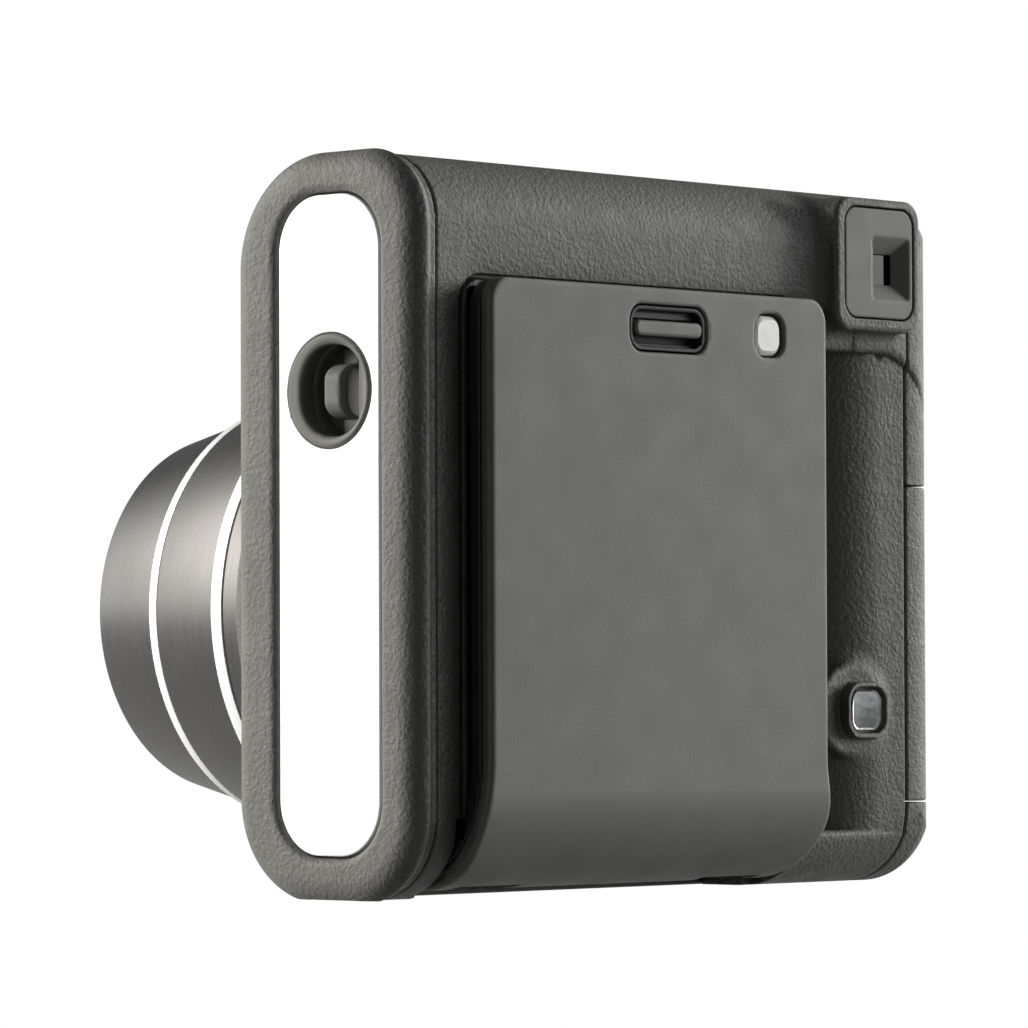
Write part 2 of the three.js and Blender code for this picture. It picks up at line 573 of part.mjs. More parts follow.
const GEARS = {};
function addGear(name, teeth, y, z, neighbour, bore) {
  const gear = { teeth, y, z, turn: 0 };
  if (neighbour) gear.turn = meshTurn(GEARS[neighbour], gear);
  GEARS[name] = gear;
  const solid = bore > 0 ? spurGear(teeth).subtract(rod('x', 0, 0, bore, 40, 70, 4))
    : spurGear(teeth).add(rod('x', 0, 0, 0.7, ROLLER.left + 0.5, GEAR_FACE.to + 0.5, 3));
  const mesh = place(name, solid, GEAR_WHITE);
  mesh.position.set(0, y, z);
  mesh.rotation.x = gear.turn;
}

const frontRollerY = ROLLER.filmY - ROLLER.spacing / 2;
const rearRollerY = ROLLER.filmY + ROLLER.spacing / 2;
const degrees = Math.PI / 180;
const idlerReach = (MODULE * (12 + 16)) / 2;
const idler = { y: frontRollerY - idlerReach * Math.cos(40 * degrees), z: ROLLER.z - idlerReach * Math.sin(40 * degrees) };
const pinionReach = (MODULE * (16 + 8)) / 2;
const motor = { y: idler.y + pinionReach * Math.cos(109 * degrees), z: idler.z + pinionReach * Math.sin(109 * degrees) };

function roller(y) {
  return rod('x', y, ROLLER.z, ROLLER.radius, ROLLER.right, ROLLER.left, 6)
    .add(rod('x', y, ROLLER.z, ROLLER.shaft, ROLLER.right - 2.6, GEAR_FACE.to + 0.8, 4));
}
place('front_roller', roller(frontRollerY), STEEL);
place('rear_roller', roller(rearRollerY), STEEL);
addGear('front_roller_gear', 12, frontRollerY, ROLLER.z, null, ROLLER.shaft + GAP);
addGear('rear_roller_gear', 12, rearRollerY, ROLLER.z, 'front_roller_gear', ROLLER.shaft + GAP);
addGear('idler_gear', 16, idler.y, idler.z, 'front_roller_gear', ROLLER.shaft + GAP);
addGear('motor_pinion', 8, motor.y, motor.z, 'idler_gear', 0);

function rollerBracket(from, to) {
  let plate = extrude(roundedRect(frontRollerY - 4, ROLLER.z - 3.8, rearRollerY + 4, ROLLER.z + 5, 1.5), 'x', from, to);
  for (const y of [frontRollerY, rearRollerY]) {
    plate = plate.subtract(rod('x', y, ROLLER.z, ROLLER.shaft + GAP, from - 1, to + 1, 4));
  }
  return plate;
}
function driveBracket() {
  const to = ROLLER.left + 1.7;
  const from = ROLLER.left + 0.5;
  const arm = extrude(roundedRect(-14.6, 96, frontRollerY - 3, 110.4, 2), 'x', from, to);
  return rollerBracket(from, to)
    .add(arm.intersect(extrude(sideOutline(WALL + GAP), 'x', 40, 60)))
    .add(rod('x', idler.y, idler.z, ROLLER.shaft, to - 0.5, GEAR_FACE.to + 0.6, 4))
    .subtract(rod('x', motor.y, motor.z, 1.1, 40, 60, 4))
    .subtract(rod('x', frontRollerY, ROLLER.z, ROLLER.shaft + GAP, 40, 60, 4));
}
place('drive_bracket', driveBracket(), STEEL);
place('roller_bracket', rollerBracket(ROLLER.right - 1.7, ROLLER.right - 0.5), STEEL);
place('drive_motor', rod('x', motor.y, motor.z, 4.4, ROLLER.left - 20, ROLLER.left + 0.2, 6), CELL);

const FLAP = { front: 2, rear: 5.6, top: 119.9, thickness: 0.7 };
place('exit_flap', box(FILM_X - EXIT_SLOT.half + 0.5, FILM_X + EXIT_SLOT.half - 0.5, FLAP.front, FLAP.rear,
  FLAP.top - FLAP.thickness, FLAP.top), RUBBER);

// ---------------------------------------------------------------- circuit board and screws

const board = extrude(roundedRect(-38.8, 12, -29.6, 90, 1), 'y', 6, 7.6);
place('main_board', board, BOARD_GREEN);

const SCREWS = [['screw_left', 56.5, 3.2], ['screw_right', -53, 3.2]];
for (const [name, x, y] of SCREWS) {
  const head = rod('z', x, y, 1.7, WALL + GAP, WALL + GAP + 1.1, 4);
  place(name, head.add(rod('z', x, y, 0.9, WALL + GAP + 1.1, 9, 3)), STEEL);
}

// ---------------------------------------------------------------- lens

// Every outline below is [radius, y] about the lens axis; the lens looks along -Y.
const RING = { rear: -22.3, front: -33.4, inner: 40.2 };
const BARREL = { rear: -27.5, bandRear: -38.2, bandFront: -40.8, rimRear: -57.5, rimFront: -59.7 };
const NOSE = { rear: -48.2, front: -77.4 };

function lensPiece(name, outline, look, segments) {
  return place(name, turned(outline, segments), look, lensGroup);
}

lensPiece('lens_guide', [
  [GUIDE.inner, -4],
  [GUIDE.inner, -22],
  [43.2, -22],
  [43.6, -21.6],
  [43.6, Y_FRONT - GAP],
  [GUIDE.outer, Y_FRONT - GAP],
  [GUIDE.outer, -4],
], GRAIN, 48);

lensPiece('mode_ring', [
  [RING.inner, RING.rear],
  [RING.inner, RING.front],
  [41, RING.front],
  [41.4, RING.front + 0.5],
  [43, RING.rear - 1],
  [42.8, RING.rear],
], GRAIN, 48);

lensPiece('outer_barrel', [
  [38.4, BARREL.rear],
  [38.4, -44],
  [35.6, -49],
  [35.6, BARREL.rimRear],
  [36.35, BARREL.rimRear],
  [39.3, BARREL.bandFront - GAP],
  [39.2, BARREL.bandFront],
  [39.2, BARREL.bandRear],
  [39.75, BARREL.bandRear + GAP],
  [39.75, BARREL.rear],
], GUNMETAL);

lensPiece('barrel_band', [
  [39.35, BARREL.bandFront + 0.05],
  [39.85, BARREL.bandFront + 0.05],
  [39.85, BARREL.bandRear - 0.05],
  [39.35, BARREL.bandRear - 0.05],
], CHROME, 40);

lensPiece('barrel_rim', [
  [35.6, BARREL.rimRear - 0.15],
  [35.6, BARREL.rimFront],
  [35.9, BARREL.rimFront],
  [36.2, BARREL.rimFront + 0.5],
  [36.3, BARREL.rimRear - 0.15],
], CHROME, 40);

lensPiece('inner_barrel', [
  [33.9, NOSE.rear],
  [33.9, -60],
  [29.6, NOSE.front + 3],
  [29.6, NOSE.front],
  [30.7, NOSE.front],
  [31.1, NOSE.front + 0.5],
  [35.25, BARREL.rimFront],
  [35.3, NOSE.rear],
], GUNMETAL);

const mirrorSpot = { x: 17, z: 12, radius: 5.2 };
const frontPlate = turned([
  [9.4, NOSE.front + 6.4],
  [12.5, NOSE.front + 2],
  [29.3, NOSE.front + 2],
  [29.3, NOSE.front + 3.4],
  [13.3, NOSE.front + 3.4],
  [10.4, NOSE.front + 6.4],
], 36).subtract(rod('y', mirrorSpot.x, mirrorSpot.z, mirrorSpot.radius + GAP, -90, -60));
place('front_plate', frontPlate, GLOSS_BLACK, lensGroup);
place('selfie_mirror', turnedOnAxis([
  [0, NOSE.front + 3.6],
  [mirrorSpot.radius, NOSE.front + 3.6],
  [mirrorSpot.radius, NOSE.front + 2.5],
  [mirrorSpot.radius * 0.6, NOSE.front + 2.1],
  [0, NOSE.front + 1.9],
], 20).translate(mirrorSpot.x, 0, mirrorSpot.z), MIRROR, lensGroup);

place('front_lens', turnedOnAxis([
  [0, NOSE.front + 9.6],
  [8.6, NOSE.front + 9.2],
  [8.6, NOSE.front + 6.8],
  [5, NOSE.front + 5.6],
  [0, NOSE.front + 5],
]), GLASS, lensGroup);
const HOUSING = { front: NOSE.front + 10.2, rear: NOSE.front + 15.4 };
const shutterHousing = turned([
  [6, HOUSING.front],
  [29.4, HOUSING.front],
  [30.6, HOUSING.front + 3.4],
  [30.6, HOUSING.rear],
  [6, HOUSING.rear],
], 32).subtract(turned([
  [5, HOUSING.front + 2.2],
  [25, HOUSING.front + 2.2],
  [25, HOUSING.front + 4],
  [5, HOUSING.front + 4],
], 32));
place('shutter_housing', shutterHousing, BLACK, lensGroup);
place('rear_lens', turnedOnAxis([
  [0, HOUSING.rear + 3.4],
  [4, HOUSING.rear + 3],
  [7, HOUSING.rear + 1.9],
  [7, HOUSING.rear + 0.3],
  [0, HOUSING.rear + 0.8],
]), GLASS, lensGroup);

// One shutter blade swings off the aperture about a pivot beside it.
const BLADE = { pivotX: 14, from: HOUSING.front + 2.7, to: HOUSING.front + 3.4 };
const blade = rod('y', 0, 0, 7.2, BLADE.from, BLADE.to, 6)
  .add(extrude(roundedRect(0, -2.4, BLADE.pivotX + 2, 2.4, 1.5), 'y', BLADE.from, BLADE.to));
place('shutter_blade', blade, BLACK, lensGroup);

export default camera;
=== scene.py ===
"""Looks of a square-format instant camera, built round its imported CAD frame.

Shapes are worked out in millimetres and made into meshes in metres. The lens looks along -Y,
the film door faces +Y, the bright side panel is on +X and the grip is on -X.
"""

import math

import bpy
import numpy as np
import openvdb as vdb
from mathutils import Matrix, Vector


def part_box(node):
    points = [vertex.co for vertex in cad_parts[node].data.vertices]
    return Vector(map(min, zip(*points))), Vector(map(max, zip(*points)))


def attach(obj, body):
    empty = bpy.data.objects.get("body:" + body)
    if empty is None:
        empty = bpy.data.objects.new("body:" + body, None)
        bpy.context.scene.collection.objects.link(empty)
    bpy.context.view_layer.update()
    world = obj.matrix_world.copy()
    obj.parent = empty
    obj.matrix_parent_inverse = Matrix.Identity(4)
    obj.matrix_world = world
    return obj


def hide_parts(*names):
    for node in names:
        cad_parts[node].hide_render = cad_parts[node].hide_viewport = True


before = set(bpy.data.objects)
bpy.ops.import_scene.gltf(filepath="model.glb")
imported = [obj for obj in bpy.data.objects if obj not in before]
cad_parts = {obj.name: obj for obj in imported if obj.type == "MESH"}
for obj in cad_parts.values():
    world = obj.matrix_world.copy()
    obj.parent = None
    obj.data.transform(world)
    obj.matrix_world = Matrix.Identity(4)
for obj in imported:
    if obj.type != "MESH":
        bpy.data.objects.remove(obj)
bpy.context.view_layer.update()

MM = 0.001
GAP = 0.3
WALL = 2.0
COARSER = 1.0


# ---------------------------------------------------------------- places taken from the frame


class Span:
    """The box of a CAD node, in millimetres."""

    def __init__(self, node):
        low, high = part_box(node)
        self.x0, self.y0, self.z0 = (value / MM for value in low)
        self.x1, self.y1, self.z1 = (value / MM for value in high)
        self.x = (self.x0 + self.x1) / 2
        self.y = (self.y0 + self.y1) / 2
        self.z = (self.z0 + self.z1) / 2
        self.width = self.x1 - self.x0
        self.depth = self.y1 - self.y0
        self.height = self.z1 - self.z0


left_frame = Span("left_side_frame")
right_frame = Span("right_side_frame")
rear_half = Span("rear_shell")
door = Span("film_door")
chamber = Span("film_chamber")
pocket = Span("latch_pocket")
latch = Span("door_latch")
pack_window = Span("pack_window")
eyepiece = Span("eyepiece_plate")
counter = Span("counter_window")
dial = Span("counter_dial")
panel = Span("left_trim_panel")
lug = Span("strap_lug")
strap_bar = Span("strap_bar")
hatch = Span("battery_door")
flash = Span("flash_window")
finder_front = Span("finder_front_window")
sensor = Span("light_sensor_window")
button = Span("shutter_button")
button_ring = Span("shutter_button_ring")
guide = Span("lens_guide")
ring = Span("mode_ring")
barrel = Span("outer_barrel")
band = Span("barrel_band")
rim = Span("barrel_rim")
nose = Span("inner_barrel")
exit_flap = Span("exit_flap")

BODY_X = (right_frame.x0, left_frame.x1)
BODY_Y = (right_frame.y0, right_frame.y1)
BODY_Z = (0.0, right_frame.z1)
BEAD = left_frame.z1 - right_frame.z1
LEFT_SEAM = left_frame.x1 - 6.05
RIGHT_SEAM = right_frame.x1 + GAP / 2
PARTING = rear_half.y0 - GAP / 2
CORNERS = (16.0, 14.5, 12.0, 18.0)
LEFT_EDGE = 5.0
GRIP_EDGE = 7.0
LENS_X = barrel.x
LENS_Z = barrel.z
FILM_X = door.x
BOSS = {"x0": -56.4, "x1": -33.6, "z0": 95.3, "z1": 118.2, "face": eyepiece.y1 + 0.1}


# ---------------------------------------------------------------- signed distances, negative inside


def blend_min(a, b, radius):
    """The union of two shapes with a fillet of about that radius between them."""
    share = np.clip(0.5 + 0.5 * (b - a) / radius, 0, 1)
    return b + (a - b) * share - radius * share * (1 - share)


def blend_max(a, b, radius):
    """What two shapes share, with the edge between them rounded."""
    return -blend_min(-a, -b, radius)


def cut(a, b, radius=0.0):
    """Shape a without shape b."""
    return blend_max(a, -b, radius) if radius else np.maximum(a, -b)


def rectangle(u, v, u0, v0, u1, v1, corners=0.0):
    """A rectangle whose corners, counted round from the lowest, have their own radii."""
    if isinstance(corners, (int, float)):
        radius = corners
    else:
        low = np.where(u < (u0 + u1) / 2, corners[0], corners[1])
        high = np.where(u < (u0 + u1) / 2, corners[3], corners[2])
        radius = np.where(v < (v0 + v1) / 2, low, high)
    du = np.abs(u - (u0 + u1) / 2) - (u1 - u0) / 2 + radius
    dv = np.abs(v - (v0 + v1) / 2) - (v1 - v0) / 2 + radius
    outside = np.hypot(np.maximum(du, 0), np.maximum(dv, 0))
    return np.minimum(np.maximum(du, dv), 0) + outside - radius


def swept(outline, along, start, end, edge=0.0):
    """An outline swept along an axis, its two ends rounded over by edge."""
    side = outline + edge
    ends = np.abs(along - (start + end) / 2) - (end - start) / 2 + edge
    outside = np.hypot(np.maximum(side, 0), np.maximum(ends, 0))
    return np.minimum(np.maximum(side, ends), 0) + outside - edge


def disc(u, v, centre_u, centre_v, radius):
    return np.hypot(u - centre_u, v - centre_v) - radius


def smooth_step(value, start, end):
    share = np.clip((value - start) / (end - start), 0, 1)
    return share * share * (3 - 2 * share)


def side_outline(y, z, inset=0.0):
    corners = [corner - inset for corner in CORNERS]
    return rectangle(
        y, z, BODY_Y[0] + inset, BODY_Z[0] + inset, BODY_Y[1] - inset, BODY_Z[1] - inset, corners
    )


def body(x, y, z, inset=0.0):
    """The camera's rounded block, pulled in all round by inset."""
    start, end = BODY_X[0] + inset, BODY_X[1] - inset
    length = swept(side_outline(y, z, inset), x, start, end, LEFT_EDGE - inset)
    edge = GRIP_EDGE - inset
    plan = rectangle(x, y, start, BODY_Y[0] + inset, end + 30, BODY_Y[1] - inset, (edge, 0, 0, edge))
    return np.maximum(length, plan)


def grip_end(x, y, z):
    """The grip's side of the body, with its wall."""
    block = cut(body(x, y, z), thumb_rest(x, y, z), 1.6)
    return np.maximum(block, -body(x, y, z, WALL))


# ---------------------------------------------------------------- meshes


def add_mesh(name, points, faces, normals=None):
    mesh = bpy.data.meshes.new(name)
    mesh.from_pydata((np.asarray(points, float) * MM).tolist(), [], faces)
    mesh.validate()
    mesh.update()
    mesh.polygons.foreach_set("use_smooth", [True] * len(mesh.polygons))
    if normals is not None and len(normals) == len(mesh.vertices):
        mesh.normals_split_custom_set_from_vertices(normals.tolist())
    piece = bpy.data.objects.new(name, mesh)
    bpy.context.collection.objects.link(piece)
    return piece


def slope(shape, points, step):
    """The direction in which a shape's distance grows, at each point."""
    x, y, z = points.T
    grown = np.stack(
        [
            shape(x + step, y, z) - shape(x - step, y, z),
            shape(x, y + step, z) - shape(x, y - step, z),
            shape(x, y, z + step) - shape(x, y, z - step),
        ],
        axis=1,
    )
    return grown / np.maximum(np.linalg.norm(grown, axis=1, keepdims=True), 1e-9)


def moulded(name, shape, low, high, pitch):
    """A closed mesh of a signed distance, with normals taken from the distance itself."""
    pitch *= COARSER
    reach = 3 * pitch
    axes = [np.arange(a - reach, b + reach, pitch, dtype=np.float32) for a, b in zip(low, high)]
    x, y, z = np.ix_(*axes)
    sizes = tuple(len(axis) for axis in axes)
    distance = np.broadcast_to(shape(x, y, z), sizes).astype(np.float32)
    grid = vdb.FloatGrid(reach)
    grid.copyFromArray(np.clip(distance, -reach, reach))
    grid.transform = vdb.createLinearTransform(voxelSize=pitch)
    points, triangles, quads = grid.convertToPolygons(isovalue=0, adaptivity=0.002)
    points = points.astype(float) + np.array([axis[0] for axis in axes], float)
    for _ in range(2):
        away = slope(shape, points, 0.05)
        miss = shape(*points.T)[:, None]
        points = points - away * np.clip(miss, -pitch / 2, pitch / 2)
    faces = triangles.tolist() + quads.tolist()
    return add_mesh(name, points, faces, slope(shape, points, 0.08))


def arc_corner(before, corner, after, radius, steps):
    """The points that round one corner of an outline."""
    before, corner, after = (np.array(point, float) for point in (before, corner, after))
    back = before - corner
    ahead = after - corner
    reach = min(radius, 0.45 * np.linalg.norm(back), 0.45 * np.linalg.norm(ahead))
    start = corner + back / np.linalg.norm(back) * reach
    end = corner + ahead / np.linalg.norm(ahead) * reach
    shares = [step / steps for step in range(steps + 1)]
    return [(1 - t) ** 2 * start + 2 * t * (1 - t) * corner + t * t * end for t in shares]


def softened(points, radius, steps=4, closed=True):
    """An outline with its corners rounded. An open one keeps its two end points."""
    count = len(points)
    rounded = []
    for index, corner in enumerate(points):
        if not closed and index in (0, count - 1):
            rounded.append(np.array(corner, float))
            continue
        after = points[(index + 1) % count]
        rounded.extend(arc_corner(points[index - 1], corner, after, radius, steps))
    return rounded


def turned(name, outline, radius=0.25, segments=160, closed=True, centre=(LENS_X, LENS_Z)):
    """A piece turned about the lens axis from an outline of (radius, y) points."""
    rounded = softened(outline, radius, closed=closed)
    angles = np.linspace(0, 2 * math.pi, segments, endpoint=False)
    on_axis = [not closed and index in (0, len(rounded) - 1) for index in range(len(rounded))]
    points = []
    loops = []
    for (r, y), single in zip(rounded, on_axis):
        spots = [0.0] if single else angles
        loops.append([len(points) + index for index in range(len(spots))])
        reach = 0.0 if single else r
        points += [(centre[0] + reach * math.cos(a), y, centre[1] + reach * math.sin(a)) for a in spots]
    faces = []
    count = len(loops) if closed else len(loops) - 1
    for index in range(count):
        one, two = loops[index], loops[(index + 1) % len(loops)]
        for step in range(segments):
            after = (step + 1) % segments
            quad = [one[step % len(one)], one[after % len(one)], two[after % len(two)], two[step % len(two)]]
            faces.append(list(dict.fromkeys(quad)))
    return facing_out(add_mesh(name, points, faces))


def facing_out(piece):
    """Turns the faces of a closed mesh outwards."""
    mesh = piece.data
    volume = 0.0
    mesh.calc_loop_triangles()
    for triangle in mesh.loop_triangles:
        a, b, c = (mesh.vertices[index].co for index in triangle.vertices)
        volume += a.dot(b.cross(c))
    if volume < 0:
        mesh.flip_normals()
    return piece


def loop_of(width, height, corner, steps=10):
    """A rounded rectangle's points about its centre."""
    corner = min(corner, width / 2 - 0.01, height / 2 - 0.01)
    points = []
    for turn, (side, up) in enumerate([(1, 1), (-1, 1), (-1, -1), (1, -1)]):
        for step in range(steps + 1):
            angle = math.pi / 2 * (turn + step / steps)
            u = side * (width / 2 - corner) + corner * math.cos(angle)
            v = up * (height / 2 - corner) + corner * math.sin(angle)
            points.append((u, v))
    return points


def plate(name, place, centre, width, height, corner, profile, radius=0.2):
    """A rounded plate or tray: loops pulled in by each (inset, depth) of the profile, then capped.

    place puts a point (u, v, depth) of the plate into the camera's own axes.
    """
    points = []
    faces = []
    steps = 10
    for inset, depth in softened(profile, radius, closed=False):
        loop = loop_of(width - 2 * inset, height - 2 * inset, max(corner - inset, 0.05), steps)
        points += [place(centre[0] + u, centre[1] + v, depth) for u, v in loop]
    size = 4 * (steps + 1)
    rows = len(points) // size
    for row in range(rows - 1):
        for step in range(size):
            after = (step + 1) % size
            a, b = row * size, (row + 1) * size
            faces.append([a + step, a + after, b + after, b + step])
    faces.append(list(range(size))[::-1])
    faces.append([(rows - 1) * size + step for step in range(size)])
    piece = facing_out(add_mesh(name, points, faces))
    for face in list(piece.data.polygons)[-2:]:
        face.use_smooth = False
    return piece


def on_rear(u, v, depth):
    return (u, depth, v)


# ---------------------------------------------------------------- materials


class Look:
    """A Principled material and its node tree."""

    def __init__(self, name, colour, roughness, metallic=0.0, **sockets):
        self.material = bpy.data.materials.new(name)
        self.material.use_nodes = True
        self.tree = self.material.node_tree
        self.shader = self.tree.nodes["Principled BSDF"]
        self.colour = colour
        self.shader.inputs["Base Color"].default_value = (*colour, 1)
        self.shader.inputs["Roughness"].default_value = roughness
        self.shader.inputs["Metallic"].default_value = metallic
        for socket, value in sockets.items():
            self.shader.inputs[socket.replace("_", " ")].default_value = value
        self.spots = self.add("ShaderNodeTexCoord").outputs["Object"]
        self.bump = None

    def add(self, kind, inputs=None, **settings):
        node = self.tree.nodes.new(kind)
        for name, value in settings.items():
            setattr(node, name, value)
        for socket, value in (inputs or {}).items():
            if isinstance(value, bpy.types.NodeSocket):
                self.tree.links.new(value, node.inputs[socket])
            else:
                node.inputs[socket].default_value = value
        return node

    def scaled(self, per_mm):
        """The surface's own place, scaled to so many cells a millimetre along X, Y and Z."""
        if isinstance(per_mm, (int, float)):
            per_mm = (per_mm,) * 3
        scale = Vector(per_mm) / MM
        return self.add("ShaderNodeMapping", {"Vector": self.spots, "Scale": scale}).outputs[0]

    def noise(self, per_mm, detail=3.0, rough=0.55):
        sockets = {"Vector": self.scaled(per_mm), "Scale": 1.0, "Detail": detail, "Roughness": rough}
        return self.add("ShaderNodeTexNoise", sockets).outputs["Fac"]

    def ranged(self, value, low, high, start=0.3, end=0.7):
        sockets = {"Value": value, "From Min": start, "From Max": end, "To Min": low, "To Max": high}
        return self.add("ShaderNodeMapRange", sockets).outputs["Result"]

    def link(self, value, socket):
        self.tree.links.new(value, self.shader.inputs[socket])

    def raise_by(self, height, depth_mm, strength=1.0):
        """Adds a bump of that depth over the ones added before it."""
        sockets = {"Height": height, "Distance": depth_mm * MM, "Strength": strength}
        if self.bump is not None:
            sockets["Normal"] = self.bump
        self.bump = self.add("ShaderNodeBump", sockets).outputs["Normal"]
        self.link(self.bump, "Normal")

    def mottle(self, amount, per_mm=0.12, wear=0.0):
        """Uneven colour, and a paler line where convex edges are rubbed."""
        low = [channel * (1 - amount) for channel in self.colour]
        high = [channel * (1 + amount) for channel in self.colour]
        share = self.ranged(self.noise(per_mm), 0.0, 1.0)
        result = self.mixed(share, (*low, 1), (*high, 1))
        if wear:
            bent = self.add("ShaderNodeNewGeometry").outputs["Pointiness"]
            pale = [min(1, 2.2 * channel + 0.03) for channel in self.colour]
            result = self.mixed(self.ranged(bent, 0.0, wear, 0.52, 0.58), result, (*pale, 1))
        self.link(result, "Base Color")

    def mixed(self, share, first, second):
        """A colour that goes from the first to the second as the share goes from 0 to 1."""
        mix = self.add("ShaderNodeMix", data_type="RGBA")
        for socket, value in ((0, share), (6, first), (7, second)):
            if isinstance(value, bpy.types.NodeSocket):
                self.tree.links.new(value, mix.inputs[socket])
            else:
                mix.inputs[socket].default_value = value
        return mix.outputs[2]

    def uneven_gloss(self, low, high, per_mm=0.4):
        self.link(self.ranged(self.noise(per_mm), low, high), "Roughness")


def leather_grain(name, colour, cell=0.8, depth=0.075):
    """Plastic moulded with a fine pebbled leather grain."""
    look = Look(name, colour, 0.5)
    noise = {"Vector": look.scaled(0.8 / cell), "Scale": 1.0, "Detail": 2.0}
    wander = look.add("ShaderNodeTexNoise", noise).outputs["Color"]
    centred = {0: wander, 1: (0.5, 0.5, 0.5)}
    shift = look.add("ShaderNodeVectorMath", centred, operation="SUBTRACT").outputs[0]
    push = look.add("ShaderNodeVectorMath", {0: shift, "Scale": 1.6}, operation="SCALE").outputs[0]
    moved = {0: look.scaled(1 / cell), 1: push}
    place = look.add("ShaderNodeVectorMath", moved, operation="ADD").outputs[0]
    cells = {"Vector": place, "Scale": 1.0, "Smoothness": 0.6}
    pebbles = look.add("ShaderNodeTexVoronoi", cells, feature="SMOOTH_F1")
    look.raise_by(look.ranged(pebbles.outputs["Distance"], 1.0, 0.0, 0.15, 0.7), depth)
    look.raise_by(look.noise(1.7 / cell, 2.0, 0.5), depth * 0.7)
    look.mottle(0.08, 0.15, wear=0.15)
    look.uneven_gloss(0.4, 0.58, 0.3)
    return look


def matt_plastic(name, colour, rough=(0.42, 0.55), wear=0.3):
    """Smooth plastic with the fine spark-eroded texture of its mould."""
    look = Look(name, colour, 0.5)
    look.raise_by(look.noise(3.2, 3.0, 0.7), 0.035)
    look.mottle(0.03, 0.05, wear=wear)
    look.uneven_gloss(rough[0], rough[1], 0.12)
    return look


def turned_metal(name, colour, rough, brush=0.006):
    """Metal with the fine rings that a lathe leaves round the lens axis."""
    look = Look(name, colour, sum(rough) / 2, 1.0, Anisotropic=0.55)
    around = look.add("ShaderNodeTangent", direction_type="RADIAL", axis="Y")
    look.link(around.outputs[0], "Tangent")
    look.raise_by(look.noise((0.05, 14.0, 0.05), 3.0, 0.7), brush)
    look.mottle(0.05, 0.08)
    look.uneven_gloss(rough[0], rough[1], (0.1, 3.0, 0.1))
    return look


def bright_metal(name, colour, rough, metallic=1.0):
    look = Look(name, colour, sum(rough) / 2, metallic)
    look.raise_by(look.noise(1.4, 3.0), 0.002)
    look.mottle(0.02, 0.06)
    look.uneven_gloss(rough[0], rough[1], 0.5)
    return look


def clear_plastic(name, colour, roughness, passing):
    look = Look(name, colour, roughness, Transmission_Weight=passing, IOR=1.49)
    look.raise_by(look.noise(0.6, 2.0), 0.004)
    look.uneven_gloss(roughness * 0.7, roughness * 1.4 + 0.01, 0.4)
    return look


def circuit_board():
    look = Look("circuit_board", (0.02, 0.12, 0.05), 0.4)
    tracks = look.add("ShaderNodeTexBrick", {"Vector": look.scaled(0.35), "Scale": 1.0, "Mortar Size": 0.12})
    look.raise_by(tracks.outputs["Fac"], 0.06)
    look.mottle(0.25, 0.6)
    look.uneven_gloss(0.3, 0.5)
    return look


LOOKS = {
    "grained_body": leather_grain("grained_body", (0.088, 0.087, 0.08)),
    "grained_frame": leather_grain("grained_frame", (0.105, 0.104, 0.097)),
    "matt_plastic": matt_plastic("matt_plastic", (0.105, 0.105, 0.097)),
    "black_plastic": matt_plastic("black_plastic", (0.012, 0.012, 0.012), wear=0.06),
    "gloss_black": matt_plastic("gloss_black", (0.008, 0.008, 0.009), rough=(0.06, 0.14), wear=0.02),
    # Mostly a near-white diffuse base with little metal: a painted reflection of a bright softbox on
    # polished silver, for the side panel and the shutter button.
    "silver_trim": bright_metal("silver_trim", (0.96, 0.96, 0.95), (0.1, 0.16), 0.25),
    "bright_ring": bright_metal("bright_ring", (0.97, 0.97, 0.96), (0.2, 0.3), 0.35),
    "barrel_satin": turned_metal("barrel_satin", (0.22, 0.213, 0.206), (0.24, 0.32)),
    "steel": bright_metal("steel", (0.56, 0.56, 0.55), (0.28, 0.4)),
    "black_steel": matt_plastic("black_steel", (0.03, 0.03, 0.03)),
    "clear_window": clear_plastic("clear_window", (0.9, 0.93, 0.93), 0.03, 1.0),
    "dark_glass": clear_plastic("dark_glass", (0.004, 0.004, 0.005), 0.08, 0.0),
    "frosted_window": clear_plastic("frosted_window", (0.6, 0.61, 0.57), 0.35, 0.35),
    "mirror_finish": bright_metal("mirror_finish", (0.93, 0.94, 0.95), (0.02, 0.05)),
    "white_gear": matt_plastic("white_gear", (0.66, 0.64, 0.58)),
    "circuit_board": circuit_board(),
    "battery_can": bright_metal("battery_can", (0.38, 0.4, 0.42), (0.25, 0.35)),
    "black_rubber": matt_plastic("black_rubber", (0.02, 0.02, 0.02), rough=(0.7, 0.85), wear=0.02),
}


def finished(piece, on_body, slot_name, *nodes):
    """Gives a piece its look, its CAD body and the CAD nodes it stands for."""
    piece.data.materials.clear()
    piece.data.materials.append(LOOKS[slot_name].material)
    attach(piece, on_body)
    if nodes:
        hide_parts(*nodes)
    return piece


# ---------------------------------------------------------------- shell


def finder_boss(x, y, z):
    """The raised block round the eyepiece, whose left flank sweeps down into the back."""
    outline = rectangle(x, z, BOSS["x0"], BOSS["z0"], BOSS["x1"], BOSS["z1"], 3.6)
    block = swept(outline, y, BODY_Y[1] - 9, BOSS["face"], 0.9)
    lean = (x - BOSS["x1"]) * 0.42 + (y - BOSS["face"]) * 0.9 + 3.0
    sides = rectangle(x, z, BOSS["x0"] + 4, BOSS["z0"] + 3, BOSS["x1"] + 11, BOSS["z1"] - 2, 6)
    flank = blend_max(sides, lean, 3)
    return blend_min(block, flank, 2.0)


